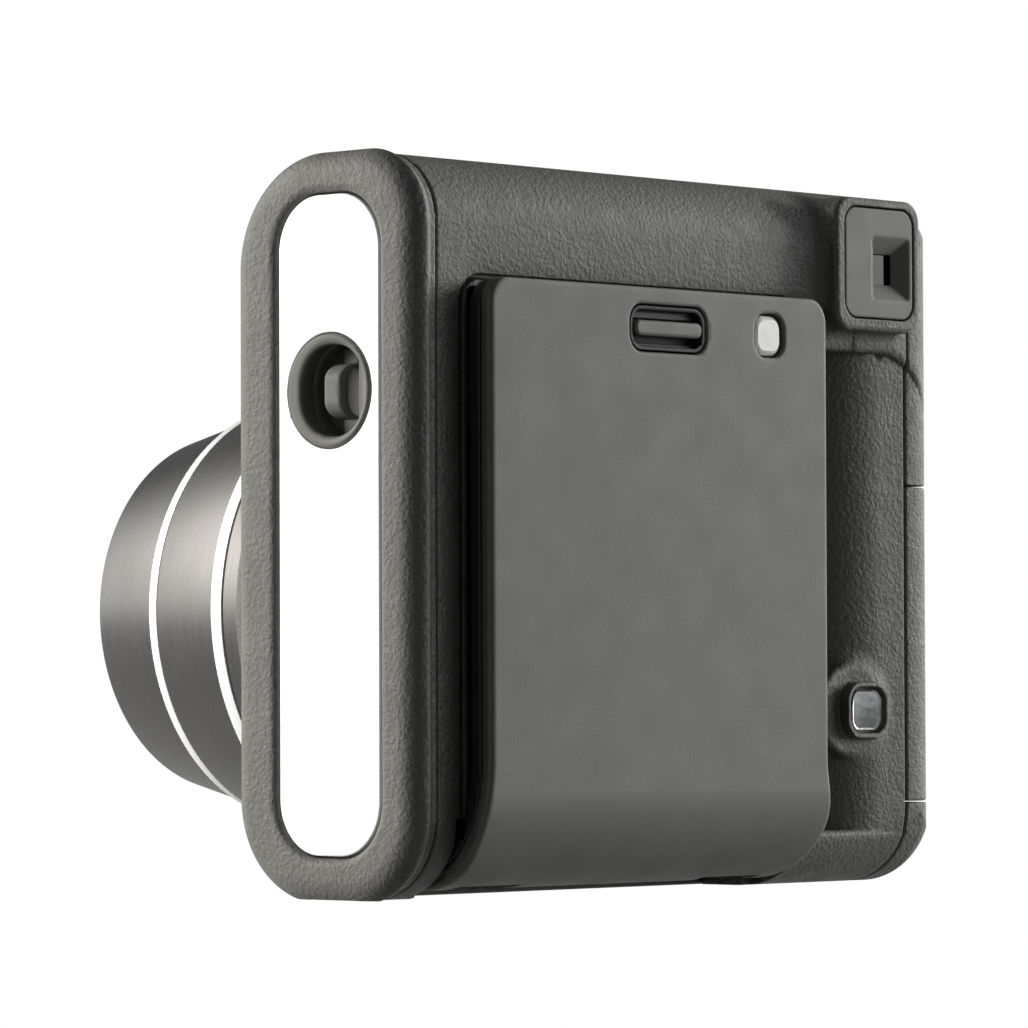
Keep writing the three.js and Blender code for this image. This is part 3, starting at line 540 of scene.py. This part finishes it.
def thumb_rest(x, y, z):
    """The grip's face, sunk below the ledge under the finder and rolling down beside the door."""
    crest = door.x0 - 24.5
    flank = 18.0
    outline = rectangle(x, z, BODY_X[0] + 4, 9.3, door.x0 + 6, 91.9, (9, 1, 1, 13))
    across = np.clip(x - crest, 0, 12.5)
    fall = flank - np.sqrt(flank**2 - across**2)
    sunk = 1.2 * smooth_step(x, BODY_X[0] + 5, BODY_X[0] + 15)
    return np.maximum(outline * 0.8, (BODY_Y[1] - fall - sunk - y) * 0.8)


def counter_outline(x, z, margin):
    half_width = counter.width / 2 + margin
    half_height = counter.height / 2 + margin
    return rectangle(
        x, z, counter.x - half_width, counter.z - half_height,
        counter.x + half_width, counter.z + half_height, 2.2 + margin,
    )


def moat(x, y, z):
    """The air round the film door: a narrow gap beside it and a shallow dip beyond."""
    line = rectangle(x, z, door.x0 - 0.5, -20, door.x1 + 0.5, door.z1 + 0.6, 5)
    surface = BODY_Y[1] - 1.0 * np.exp(-np.maximum(line, 0) / 3.4)
    dip = np.maximum(surface - y, line - 13) * 0.9
    gap = np.maximum(np.abs(line + 0.5) - 0.5, BODY_Y[1] - 3.4 - y)
    return np.minimum(dip, gap)


def seams(x, y, shape, y_sign):
    """Cuts a shell along its side seams and along the parting line between front and rear."""
    middle = np.abs(x - (LEFT_SEAM + RIGHT_SEAM) / 2) - (LEFT_SEAM - RIGHT_SEAM) / 2 + GAP / 2
    shape = blend_max(shape, middle, 0.5)
    return blend_max(shape, y_sign * (y - PARTING) + GAP / 2, 0.5)


def rear_block(x, y, z):
    block = cut(body(x, y, z), moat(x, y, z), 1.0)
    block = cut(block, thumb_rest(x, y, z), 1.6)
    island = swept(counter_outline(x, z, 1.0), y, BODY_Y[1] - 7, BODY_Y[1] - 0.1, 0.4)
    dial_cover = disc(x, z, dial.x, dial.z, dial.width / 2 + 0.6)
    cover = swept(dial_cover, y, BODY_Y[1] - 9, dial.y1 + 0.5, 0.8)
    block = blend_min(blend_min(block, cover, 3.5), island, 0.8)
    return blend_min(block, finder_boss(x, y, z), 2.6)


def rear_shell(x, y, z):
    block = rear_block(x, y, z)
    lip = np.abs(counter_outline(x, z, 0.9)) - 0.4
    lip = np.maximum(lip, np.abs(y - BODY_Y[1] + 0.6) - 0.8)
    shape = np.maximum(blend_min(block, lip, 0.5), -block - WALL)
    opening = rectangle(x, z, FILM_X - 40.5, -9, FILM_X + 40.5, 98.6, 1)
    shape = np.maximum(shape, -np.maximum(opening, 8 - y))
    liner_room = rectangle(x, z, chamber.x0 - 0.2, -9, chamber.x1 + 0.2, chamber.z1 + 0.2)
    shape = np.maximum(shape, -np.maximum(liner_room, y - chamber.y1 + 1.8))
    foot = rectangle(x, z, door.x0 - 1.6, -9, door.x1 + 1.6, 13)
    shape = np.maximum(shape, -np.maximum(foot, 7 - y))
    slot = rectangle(x, y, FILM_X - 38.5, 1.4, FILM_X + 38.5, 6, 0.8)
    shape = cut(shape, np.maximum(slot, 110 - z), 0.5)
    seat = rectangle(
        x, z, eyepiece.x0 - 0.25, eyepiece.z0 - 0.25, eyepiece.x1 + 0.25, eyepiece.z1 + 0.25, 3.2
    )
    shape = cut(shape, np.maximum(seat, BOSS["face"] - 2.6 - y), 0.25)
    sight = rectangle(x, z, eyepiece.x - 7.2, eyepiece.z - 4.2, eyepiece.x + 1.2, eyepiece.z + 3.4, 1)
    shape = np.maximum(shape, -np.maximum(sight, 10 - y))
    well = counter_outline(x, z, 0.45)
    shape = cut(shape, np.maximum(well, BODY_Y[1] - 1.5 - y), 0.4)
    shape = np.maximum(shape, -np.maximum(counter_outline(x, z, -0.8), 10 - y))
    return seams(x, y, shape, -1)


def front_shell(x, y, z):
    face = BODY_Y[0]
    block = body(x, y, z)
    outline = rectangle(x, y, -57.8, face - 5, -38, 0, (6, 9, 0, 0))
    bulge = swept(outline, z, 9, 66, 2.5)
    block = blend_min(block, bulge, 4)
    for window in (flash, finder_front):
        outline = rectangle(x, z, window.x0 - 2, window.z0 - 2, window.x1 + 2, window.z1 + 2, 4)
        block = blend_min(block, swept(outline, y, face - 0.35, face + 8, 0.3), 0.6)
    island = swept(disc(x, z, sensor.x, sensor.z, sensor.width / 2 + 2), y, face - 0.35, face + 8, 0.3)
    block = blend_min(block, island, 0.6)
    shape = np.maximum(block, -body(x, y, z, WALL))
    for window in (flash, finder_front):
        seat = rectangle(x, z, window.x0 - GAP, window.z0 - GAP, window.x1 + GAP, window.z1 + GAP, 2.5)
        shape = cut(shape, np.maximum(seat, y - face - 1.45), 0.3)
        hole = rectangle(x, z, window.x0 + 0.8, window.z0 + 0.8, window.x1 - 0.8, window.z1 - 0.8, 1.7)
        shape = np.maximum(shape, -np.maximum(hole, y))
    well = disc(x, z, sensor.x, sensor.z, sensor.width / 2 + GAP)
    shape = cut(shape, np.maximum(well, y - face - 1.45), 0.3)
    shape = np.maximum(shape, -np.maximum(disc(x, z, sensor.x, sensor.z, 2.4), y))
    bore = disc(x, z, button.x, button.z, button_ring.width / 2 + GAP)
    shape = cut(shape, np.maximum(bore, y), 0.4)
    mouth = disc(x, z, LENS_X, LENS_Z, 41.9 + GAP)
    shape = cut(shape, np.maximum(mouth, y), 0.4)
    return seams(x, y, shape, 1)


def left_side_frame(x, y, z):
    """The ring round the bright panel: a proud bead, a valley behind it and a band to the seam."""
    outline = side_outline(y, z)
    band = swept(outline, x, BODY_X[0], BODY_X[1] - 0.4, LEFT_EDGE)
    bead = swept(outline - BEAD, x, BODY_X[1] - 14, BODY_X[1], 4.2)
    bead = blend_max(bead, BODY_X[1] - 4.0 - x, 1.2)
    block = np.maximum(blend_min(band, bead, 0.9), -z)
    well = rectangle(
        y, z, panel.y0 - 0.35, panel.z0 - 0.35, panel.y1 + 0.35, panel.z1 + 0.35, 9.35
    )
    block = cut(block, np.maximum(well, panel.x0 - GAP - x), 1.6)
    shape = np.maximum(block, LEFT_SEAM + GAP / 2 - x)
    hollow = np.maximum(side_outline(y, z, WALL), x - LEFT_SEAM - 0.9)
    shape = np.maximum(shape, -hollow)
    shape = np.maximum(shape, -disc(y, z, lug.y, lug.z, lug.depth / 2 - 1))
    return blend_max(shape, LEFT_SEAM + GAP / 2 - x, 0.5)


def hatch_window(x, y, z, margin):
    """The battery door's outline, seen from the grip's side."""
    return rectangle(
        y, z, hatch.y0 - margin, hatch.z0 - margin, BODY_Y[1] + 12, hatch.z1 + margin, (3, 3, 3, 3)
    )


def right_side_frame(x, y, z):
    shape = grip_end(x, y, z)
    shape = np.maximum(shape, -np.maximum(hatch_window(x, y, z, GAP), x - RIGHT_SEAM))
    return blend_max(shape, x - RIGHT_SEAM + GAP / 2, 0.5)


def battery_door(x, y, z):
    shape = grip_end(x, y, z)
    shape = blend_max(shape, hatch_window(x, y, z, 0.0), 0.5)
    pull = rectangle(y, z, 13.4, 41.7, 14.4, 43.7, 0.4)
    shape = np.maximum(shape, -np.maximum(pull, x - BODY_X[0] - 2.2))
    return blend_max(shape, x - RIGHT_SEAM + GAP / 2, 0.5)


# ---------------------------------------------------------------- film door

DOOR_SWEEP = 16.0
DOOR_FLARE = 1.3
SHEET = 1.8
SHEET_LIP = 2.4
FOOT_TRIM = 1.2


def door_profile(y, z, inset):
    """The door from its side: flat down the back, then one sweep forward to the hinge."""
    return rectangle(
        y, z, -30, door.z0 + inset, door.y1 - inset, door.z1 - inset, (0, DOOR_SWEEP - inset, 0.5, 0)
    )


def behind_sheet(y, z, inset):
    """What lies inside the outer sheet, seen from the side; the sheet has no turned-over top."""
    corners = (0, DOOR_SWEEP - inset, 0, 0)
    return rectangle(y, z, -30, door.z0 + inset, door.y1 - inset, door.z1 + 20, corners)


def door_block(x, y, z, inset):
    """The door's outside, which flares a little at the sides as it turns under."""
    side = door_profile(y, z, inset)
    flare = DOOR_FLARE * smooth_step(z, 22, 11) * smooth_step(z, 2, 9)
    half = door.width / 2 - inset
    above = rectangle(x, z, FILM_X - half, -40, FILM_X + half, door.z1 - inset, (0, 0, 4.5, 4.5))
    return blend_max(side, (above - flare) * 0.97, 1.1 if inset == 0 else 0.3)


def door_cuts(x, y, z, shape, radius):
    recess = rectangle(x, z, pocket.x0 - 0.3, pocket.z0 - 0.3, pocket.x1 + 0.3, pocket.z1 + 0.3, 3.0)
    shape = cut(shape, np.maximum(recess, 20 - y), radius)
    glass = rectangle(
        x, z, pack_window.x0 - 0.3, pack_window.z0 - 0.3, pack_window.x1 + 0.3, pack_window.z1 + 0.3, 2.8
    )
    return cut(shape, np.maximum(glass, 20 - y), radius)


def off_body(x, y, z, shape):
    """A door shape kept clear of the shell's back."""
    block = np.maximum(side_outline(y, z, -0.5), 10 - z)
    return np.maximum(np.maximum(shape, -block), door.y0 + FOOT_TRIM - y)


def clear_of_hinges(x, y, z, shape, behind):
    """A door shape with the slots that let it swing past the two hinge brackets."""
    for hinge in ("hinge_bracket_left", "hinge_bracket_right"):
        spot = Span(hinge)
        space = np.maximum(np.abs(x - spot.x) - spot.width / 2 - 0.6, np.maximum(y - behind, z - 9.4))
        shape = np.maximum(shape, -space)
    return shape


def door_sheet(x, y, z):
    """The door's outer skin."""
    shape = cut(door_block(x, y, z, 0), door_block(x, y, z, SHEET))
    shape = clear_of_hinges(x, y, z, shape, 14)
    # The sheet is cut back to a rim SHEET_LIP deep down the sides; below it the black liner is painted shade
    # on the side walls.
    shape = blend_max(shape, -behind_sheet(y, z, SHEET_LIP), 0.4)
    return door_cuts(x, y, z, off_body(x, y, z, shape), 0.6)


def door_shade_liner(x, y, z):
    """A black tray inside the sheet. Below the sheet's rim it forms the door's side walls, and its black
    there is painted shade.
    """
    shape = cut(door_block(x, y, z, 0.35), door_block(x, y, z, SHEET + 1.2))
    shape = np.maximum(shape, door.y0 + 2 - y)
    shape = off_body(x, y, z, shape)
    sheet = cut(door_block(x, y, z, -0.2), door_block(x, y, z, SHEET + 0.1))
    shape = np.maximum(shape, -np.maximum(sheet, -behind_sheet(y, z, SHEET_LIP + 0.3)))
    shape = clear_of_hinges(x, y, z, shape, 16)
    return door_cuts(x, y, z, shape, 0.3)


# ---------------------------------------------------------------- building


def build_shells():
    low_z, high_z = BODY_Z
    seams = (RIGHT_SEAM, LEFT_SEAM)
    rear = moulded(
        "rear_shell_skin", rear_shell,
        (seams[0], PARTING, low_z), (seams[1], BOSS["face"] + 0.5, high_z), 0.4,
    )
    finished(rear, "camera_body", "grained_body", "rear_shell")
    front = moulded(
        "front_shell_skin", front_shell,
        (seams[0], BODY_Y[0] - 5.2, low_z), (seams[1], PARTING, high_z), 0.5,
    )
    finished(front, "camera_body", "grained_body", "front_shell")
    left = moulded(
        "left_frame_skin", left_side_frame,
        (LEFT_SEAM, left_frame.y0, low_z), (BODY_X[1], left_frame.y1, left_frame.z1), 0.33,
    )
    finished(left, "camera_body", "grained_frame", "left_side_frame")
    right = moulded(
        "right_frame_skin", right_side_frame,
        (BODY_X[0], BODY_Y[0], low_z), (RIGHT_SEAM, BODY_Y[1], high_z), 0.4,
    )
    finished(right, "camera_body", "grained_frame", "right_side_frame")
    cover = moulded(
        "battery_door_skin", battery_door,
        (BODY_X[0], hatch.y0, hatch.z0), (RIGHT_SEAM, BODY_Y[1], hatch.z1), 0.4,
    )
    finished(cover, "battery_door", "grained_frame", "battery_door")


def build_door():
    low = (door.x0 - DOOR_FLARE, door.y0 - 4, door.z0)
    high = (door.x1 + DOOR_FLARE, door.y1, door.z1)
    sheet = moulded("film_door_sheet", door_sheet, low, high, 0.36)
    finished(sheet, "film_door", "matt_plastic", "film_door")
    # The black liner forms the door's side walls below the sheet's rim: painted shade there.
    shade_liner = moulded("film_door_shade_liner", door_shade_liner, low, high, 0.5)
    finished(shade_liner, "film_door", "black_plastic")


# ---------------------------------------------------------------- pieces on the door and shell


LATCH_TRAVEL = 0.8


def latch_pocket(x, y, z):
    """The recess round the latch, with a trench under the finger bar for its travel."""
    outer = rectangle(x, z, pocket.x0, pocket.z0, pocket.x1, pocket.z1, 2.7)
    low = min(pocket.z0 + 0.7, latch.z0 - LATCH_TRAVEL - 0.25)
    inner = rectangle(x, z, pocket.x0 + 0.7, low, pocket.x1 - 0.7, pocket.z1 - 0.7, 2.1)
    shape = np.maximum(outer, np.abs(y - pocket.y) - pocket.depth / 2)
    floor = pocket.y1 - 1.7
    shape = cut(shape, np.maximum(inner, floor - y), 0.4)
    run = np.abs(z - latch.z + LATCH_TRAVEL / 2) - latch.height / 2 - LATCH_TRAVEL / 2 - 0.25
    trench = np.maximum(run, np.abs(x - latch.x) - 8.55)
    return np.maximum(shape, -np.maximum(trench, floor - 1.2 - y))


def door_latch(x, y, z):
    """A rounded finger bar that stands flush with the door."""
    outline = rectangle(x, z, latch.x0, latch.z0, latch.x1, latch.z1, 1.2)
    return swept(outline, y, latch.y0, latch.y1, 0.6)


def eyepiece_plate(x, y, z):
    """The plate round the finder's eyepiece, with a four-sided funnel down to the pupil."""
    outline = rectangle(x, z, eyepiece.x0, eyepiece.z0, eyepiece.x1, eyepiece.z1, 2.9)
    shape = swept(outline, y, eyepiece.y0, eyepiece.y1, 0.3)
    centre_x, centre_z = -48.3, 106.2
    depth = np.clip(eyepiece.y1 - y, -0.5, 4)
    half = 5.2 - 3.1 * depth / eyepiece.depth
    funnel = rectangle(x - centre_x, z - centre_z, -5.2, -5.5, 5.2, 5.5, 1.0) + (5.2 - half)
    sharp = np.maximum(np.abs(x - centre_x), np.abs(z - centre_z) - 0.3) - half
    return cut(shape, np.maximum(funnel, sharp), 0.25)


def strap_lug(x, y, z):
    """A disc scooped out behind the strap's bar: steep in front of the bar, easing out behind it."""
    away = np.hypot(y - lug.y, z - lug.z)
    flange = swept(away - lug.depth / 2, x, panel.x0, lug.x1, 0.6)
    cup = np.maximum(away - 7.9, np.maximum(lug.x0 - x, x - panel.x0 - 0.2))
    shape = np.minimum(flange, cup)
    mouth = rectangle(y, z, lug.y - 6.1, lug.z - 7.4, lug.y + 7.6, lug.z + 7.4, 6.6)
    ease = np.clip((y - lug.y - 1.0) / 5.6, 0, 1)
    depth = 6.0 * np.sqrt(1 - ease) * (1 - 0.3 * ease)
    scoop = np.maximum(mouth, (lug.x1 - depth - x) * 0.6)
    return cut(shape, scoop, 1.2)


def strap_bow(x, y, z):
    """The bar that the strap loops behind, its two ends curving into the well."""
    along = np.abs(z - lug.z)
    bend = np.clip((along - 1.7) / 2.8, 0, 1)
    middle = strap_bar.x + 0.2 - 4.4 * (1 - np.sqrt(1 - bend * bend))
    section = rectangle(x - middle, y - lug.y, -1.1, -1.6, 1.1, 2.6, 0.9)
    return np.maximum(section * 0.8, along - 6.9)


def build_fittings():
    def add(name, shape, span, on_body, slot_name, nodes, pitch=0.2, spare=0.0):
        low = (span.x0 - spare, span.y0 - spare, span.z0 - spare)
        high = (span.x1 + spare, span.y1 + spare, span.z1 + spare)
        finished(moulded(name, shape, low, high, pitch), on_body, slot_name, *nodes)

    add("trim_panel", trim_panel, panel, "camera_body", "silver_trim", ["left_trim_panel"], 0.3)
    add("latch_recess", latch_pocket, pocket, "film_door", "black_plastic", ["latch_pocket"])
    add("latch_bar", door_latch, latch, "door_latch", "matt_plastic", ["door_latch"])
    add("eyepiece_frame", eyepiece_plate, eyepiece, "camera_body", "matt_plastic", ["eyepiece_plate"], 0.16)
    add("strap_boss", strap_lug, lug, "camera_body", "matt_plastic", ["strap_lug"])
    add("strap_bow", strap_bow, strap_bar, "camera_body", "matt_plastic", ["strap_bar"], 0.2, 4.0)


def trim_panel(x, y, z):
    """The bright side panel, a flat plate with eased edges and a round hole for the lug."""
    outline = rectangle(y, z, panel.y0, panel.z0, panel.y1, panel.z1, 9)
    hole = np.hypot(y - lug.y, z - lug.z) - lug.depth / 2 - GAP / 2
    return swept(np.maximum(outline, -hole), x, panel.x0, panel.x1, 0.35)


def build_plates():
    """The windows: rounded plates with eased edges."""
    low = pack_window.y0
    glass = plate(
        "pack_glass", on_rear, (pack_window.x, pack_window.z), pack_window.width, pack_window.height, 2.5,
        [(0, low), (0, pack_window.y1), (0.9, pack_window.y1 + 0.55)], 0.3,
    )
    finished(glass, "film_door", "frosted_window", "pack_window")
    pane = plate(
        "counter_glass", on_rear, (counter.x, counter.z), counter.width, counter.height, 2.1,
        [(0, counter.y0), (0, counter.y1 - 0.3), (0.4, counter.y1)], 0.2,
    )
    finished(pane, "camera_body", "clear_window", "counter_window")
    covers = (("flash_lens", flash, "flash_window"), ("finder_glass", finder_front, "finder_front_window"))
    for name, window, node in covers:
        shield = plate(
            name, on_rear, (window.x, window.z), window.width, window.height, 2.3,
            [(0, window.y1), (0, window.y0 + 0.4), (0.5, window.y0)], 0.3,
        )
        finished(shield, "camera_body", "clear_window", node)


def build_lens():
    """Everything that shows on the lens, turned about its axis."""

    def add(name, outline, on_body, slot_name, node, radius=0.25):
        finished(turned(name, outline, radius), on_body, slot_name, node)

    outer = guide.width / 2
    add("lens_collar", [
        (40.5, guide.y1), (40.5, guide.y0), (outer, guide.y0), (outer, BODY_Y[0] - GAP),
        (41.9, BODY_Y[0] - GAP), (41.9, guide.y1),
    ], "camera_body", "grained_body", "lens_guide", 0.4)
    ring_out = ring.width / 2
    add("mode_ring_grip", [
        (40.2, ring.y1), (40.2, ring.y0), (ring_out - 1.8, ring.y0), (ring_out - 1.2, ring.y0 + 1.5),
        (ring_out, ring.y1 - 1), (ring_out - 0.2, ring.y1),
    ], "mode_ring", "grained_body", "mode_ring", 0.5)
    big = barrel.width / 2
    add("barrel_tube", [
        (38.4, barrel.y1), (38.4, -44), (35.6, -49), (35.6, barrel.y0), (36.35, barrel.y0),
        (39.3, band.y0 - GAP), (39.2, band.y0), (39.2, band.y1), (big, band.y1 + GAP), (big, barrel.y1),
    ], "outer_barrel", "barrel_satin", "outer_barrel", 0.15)
    band_out = band.width / 2
    add("bright_band", [
        (39.35, band.y0), (band_out, band.y0), (band_out, band.y1), (39.35, band.y1),
    ], "outer_barrel", "bright_ring", "barrel_band", 0.15)
    rim_out = rim.width / 2
    add("bright_rim", [
        (35.6, rim.y1), (35.6, rim.y0), (rim_out - 0.2, rim.y0), (rim_out, rim.y1),
    ], "outer_barrel", "bright_ring", "barrel_rim", 0.2)
    nose_out = nose.width / 2
    front = nose.y0
    add("nose_tube", [
        (33.9, nose.y1), (33.9, -60), (29.6, front + 3), (29.6, front), (31.1, front),
        (nose_out - 0.05, rim.y0), (nose_out, nose.y1),
    ], "inner_barrel", "barrel_satin", "inner_barrel", 0.4)


def build_small_rounds():
    """The shutter button and the selfie mirror, turned about their own axes."""

    def add(name, outline, on_body, slot_name, node, centre):
        finished(turned(name, outline, 0.35, 96, False, centre), on_body, slot_name, node)

    axis = (button.x, button.z)
    cap = button.width / 2
    add("button_cap", [
        (0, button.y1), (cap, button.y1), (cap, button.y0 + 0.35), (0, button.y0),
    ], "shutter_button", "silver_trim", "shutter_button", axis)
    mirror = Span("selfie_mirror")
    edge = mirror.width / 2
    add("mirror_dome", [
        (0, mirror.y1), (edge, mirror.y1), (edge, mirror.y0 + 0.5), (0, mirror.y0),
    ], "inner_barrel", "mirror_finish", "selfie_mirror", (mirror.x, mirror.z))


def finish_carried_nodes():
    """Gives each CAD node that still shows the look of its own slot."""
    looks = {
        "film_chamber": "black_plastic", "finder_tube": "black_plastic", "battery_tray": "black_plastic",
        "counter_dial": "black_plastic", "shutter_housing": "black_plastic", "shutter_blade": "black_steel",
        "shutter_switch": "black_plastic", "pack_pressure_plate": "black_plastic",
        "light_sensor_window": "gloss_black", "front_plate": "gloss_black", "flash_capacitor": "gloss_black",
        "shutter_button_ring": "bright_ring",
        "door_hinge_pin": "steel", "hinge_bracket_left": "black_steel", "hinge_bracket_right": "black_steel",
        "front_roller": "steel", "rear_roller": "steel", "drive_bracket": "steel", "roller_bracket": "steel",
        "battery_contact": "steel", "screw_left": "steel", "screw_right": "steel",
        "drive_motor": "battery_can", "battery_lower": "battery_can", "battery_upper": "battery_can",
        "eyepiece_lens": "dark_glass", "flash_tube": "clear_window", "front_lens": "clear_window",
        "rear_lens": "clear_window", "flash_reflector": "mirror_finish",
        "front_roller_gear": "white_gear", "rear_roller_gear": "white_gear", "idler_gear": "white_gear",
        "motor_pinion": "white_gear", "main_board": "circuit_board", "exit_flap": "black_rubber",
    }
    for node, slot_name in looks.items():
        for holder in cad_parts[node].material_slots:
            holder.material = LOOKS[slot_name].material


build_shells()
build_door()
build_fittings()
build_plates()
build_lens()
build_small_rounds()
finish_carried_nodes()


# ---------------------------------------------------------------- stage, light and camera


def seen_by(tree, ray, seen, otherwise):
    """A stage shader that looks like one thing to that kind of ray and like another to the rest."""
    path = tree.nodes.new("ShaderNodeLightPath")
    mix = tree.nodes.new("ShaderNodeMixShader")
    tree.links.new(path.outputs[ray], mix.inputs[0])
    tree.links.new(otherwise, mix.inputs[1])
    tree.links.new(seen, mix.inputs[2])
    return mix.outputs[0]


def soft_light(name, place, target, size, power, tint=(1, 1, 1)):
    lamp = bpy.data.lights.new(name, "AREA")
    lamp.shape = "RECTANGLE"
    lamp.size, lamp.size_y = size
    lamp.energy = power
    lamp.color = tint
    holder = bpy.data.objects.new(name, lamp)
    holder.location = place
    aim = Vector(target) - Vector(place)
    holder.rotation_euler = aim.to_track_quat("-Z", "Y").to_euler()
    holder.visible_glossy = False
    bpy.context.collection.objects.link(holder)
    return holder


# Soft banks of light round the object: (direction, full strength, tint, where it starts, where it is full).
LIGHT_BANKS = [
    ((0.62, -0.78, 0.05), 1.6, (1.0, 0.99, 0.97), 0.45, 0.95),
    ((0.5, -0.7, 0.5), 2.4, (1.0, 0.95, 0.91), 0.86, 0.99),
    ((-0.86, 0.5, 0.1), 2.4, (0.98, 0.99, 1.0), 0.45, 0.95),
]
DIM_LIGHT = 0.14
DIM_TINT = (0.94, 0.97, 1.0)


def backdrop(tree, tint, strength):
    """A world light of one tint; its strength is a number or a socket."""
    glow = tree.nodes.new("ShaderNodeBackground")
    glow.inputs[0].default_value = (*tint, 1)
    if isinstance(strength, bpy.types.NodeSocket):
        tree.links.new(strength, glow.inputs[1])
    else:
        glow.inputs[1].default_value = strength
    return glow.outputs[0]


def eased(tree, value, start, full, high=1.0):
    """A smooth step of the value, from 0 at the start to high at the full end."""
    step = tree.nodes.new("ShaderNodeMapRange")
    step.interpolation_type = "SMOOTHSTEP"
    step.inputs["From Min"].default_value = start
    step.inputs["From Max"].default_value = full
    step.inputs["To Max"].default_value = high
    tree.links.new(value, step.inputs["Value"])
    return step.outputs[0]


def joined(tree, kind, first, second, **settings):
    """A node of that kind fed with two sockets."""
    node = tree.nodes.new(kind)
    for name, value in settings.items():
        setattr(node, name, value)
    tree.links.new(first, node.inputs[0])
    tree.links.new(second, node.inputs[1])
    return node.outputs[0]


def studio_surround(tree):
    """The light that shines back off the object: bright at both sides, dim above and below."""
    place = tree.nodes.new("ShaderNodeTexCoord").outputs["Generated"]
    height = tree.nodes.new("ShaderNodeSeparateXYZ")
    tree.links.new(place, height.inputs[0])
    level = eased(tree, height.outputs["Z"], 0.85, 0.3)
    total = backdrop(tree, DIM_TINT, DIM_LIGHT)
    for direction, strength, tint, start, full in LIGHT_BANKS:
        along = tree.nodes.new("ShaderNodeVectorMath")
        along.operation = "DOT_PRODUCT"
        along.inputs[1].default_value = Vector(direction).normalized()
        tree.links.new(place, along.inputs[0])
        share = eased(tree, along.outputs["Value"], start, full, strength)
        banked = joined(tree, "ShaderNodeMath", share, level, operation="MULTIPLY")
        total = joined(tree, "ShaderNodeAddShader", total, backdrop(tree, tint, banked))
    return total


def light_the_scene():
    world = bpy.data.worlds.new("studio")
    bpy.context.scene.world = world
    world.use_nodes = True
    tree = world.node_tree
    tree.nodes.clear()
    output = tree.nodes.new("ShaderNodeOutputWorld")
    white = backdrop(tree, (1, 1, 1), 1.0)
    dim = backdrop(tree, DIM_TINT, DIM_LIGHT)
    cast = seen_by(tree, "Is Glossy Ray", studio_surround(tree), dim)
    tree.links.new(seen_by(tree, "Is Camera Ray", white, cast), output.inputs[0])
    middle = (0, 0, 0.06)
    soft_light("side_softbox", (0.75, -0.95, 0.16), middle, (0.6, 0.6), 50.0, (1, 0.99, 0.97))
    soft_light("back_softbox", (-1.2, 0.5, 0.26), middle, (0.6, 0.6), 44.0)


def build_stage():
    reach = 6.0
    points = [(-reach, -reach, 0), (reach, -reach, 0), (reach, reach, 0), (-reach, reach, 0)]
    mesh = bpy.data.meshes.new("floor")
    mesh.from_pydata(points, [], [(0, 1, 2, 3)])
    floor = bpy.data.objects.new("floor", mesh)
    bpy.context.collection.objects.link(floor)
    paint = bpy.data.materials.new("pale_floor")
    paint.use_nodes = True
    tree = paint.node_tree
    tree.nodes.clear()
    glow = tree.nodes.new("ShaderNodeEmission")
    glow.inputs[0].default_value = (1, 1, 1, 1)
    matt = tree.nodes.new("ShaderNodeBsdfDiffuse")
    matt.inputs[0].default_value = (0.05, 0.05, 0.05, 1)
    sheen = tree.nodes.new("ShaderNodeEmission")
    sheen.inputs[1].default_value = 0.42
    bounced = seen_by(tree, "Is Glossy Ray", sheen.outputs[0], matt.outputs[0])
    output = tree.nodes.new("ShaderNodeOutputMaterial")
    tree.links.new(seen_by(tree, "Is Camera Ray", glow.outputs[0], bounced), output.inputs[0])
    mesh.materials.append(paint)


def build_camera():
    yaw, pitch, roll = math.radians(47.15487), math.radians(1.7351), math.radians(-0.19754)
    ahead = Vector((-math.sin(yaw) * math.cos(pitch), -math.cos(yaw) * math.cos(pitch), math.sin(pitch)))
    level = Vector((-math.cos(yaw), math.sin(yaw), 0))
    up = level.cross(ahead)
    right = math.cos(roll) * level + math.sin(roll) * up
    over = math.cos(roll) * up - math.sin(roll) * level
    lens = bpy.data.cameras.new("camera")
    lens.sensor_width = 36
    lens.lens = 201.0
    holder = bpy.data.objects.new("camera", lens)
    turn = Matrix((right, over, -ahead)).transposed().to_4x4()
    holder.matrix_world = Matrix.Translation((0.722827, 0.650521, 0.034064)) @ turn
    bpy.context.collection.objects.link(holder)
    bpy.context.scene.camera = holder
    bpy.context.scene.view_settings.view_transform = "Standard"


build_stage()
light_the_scene()
build_camera()
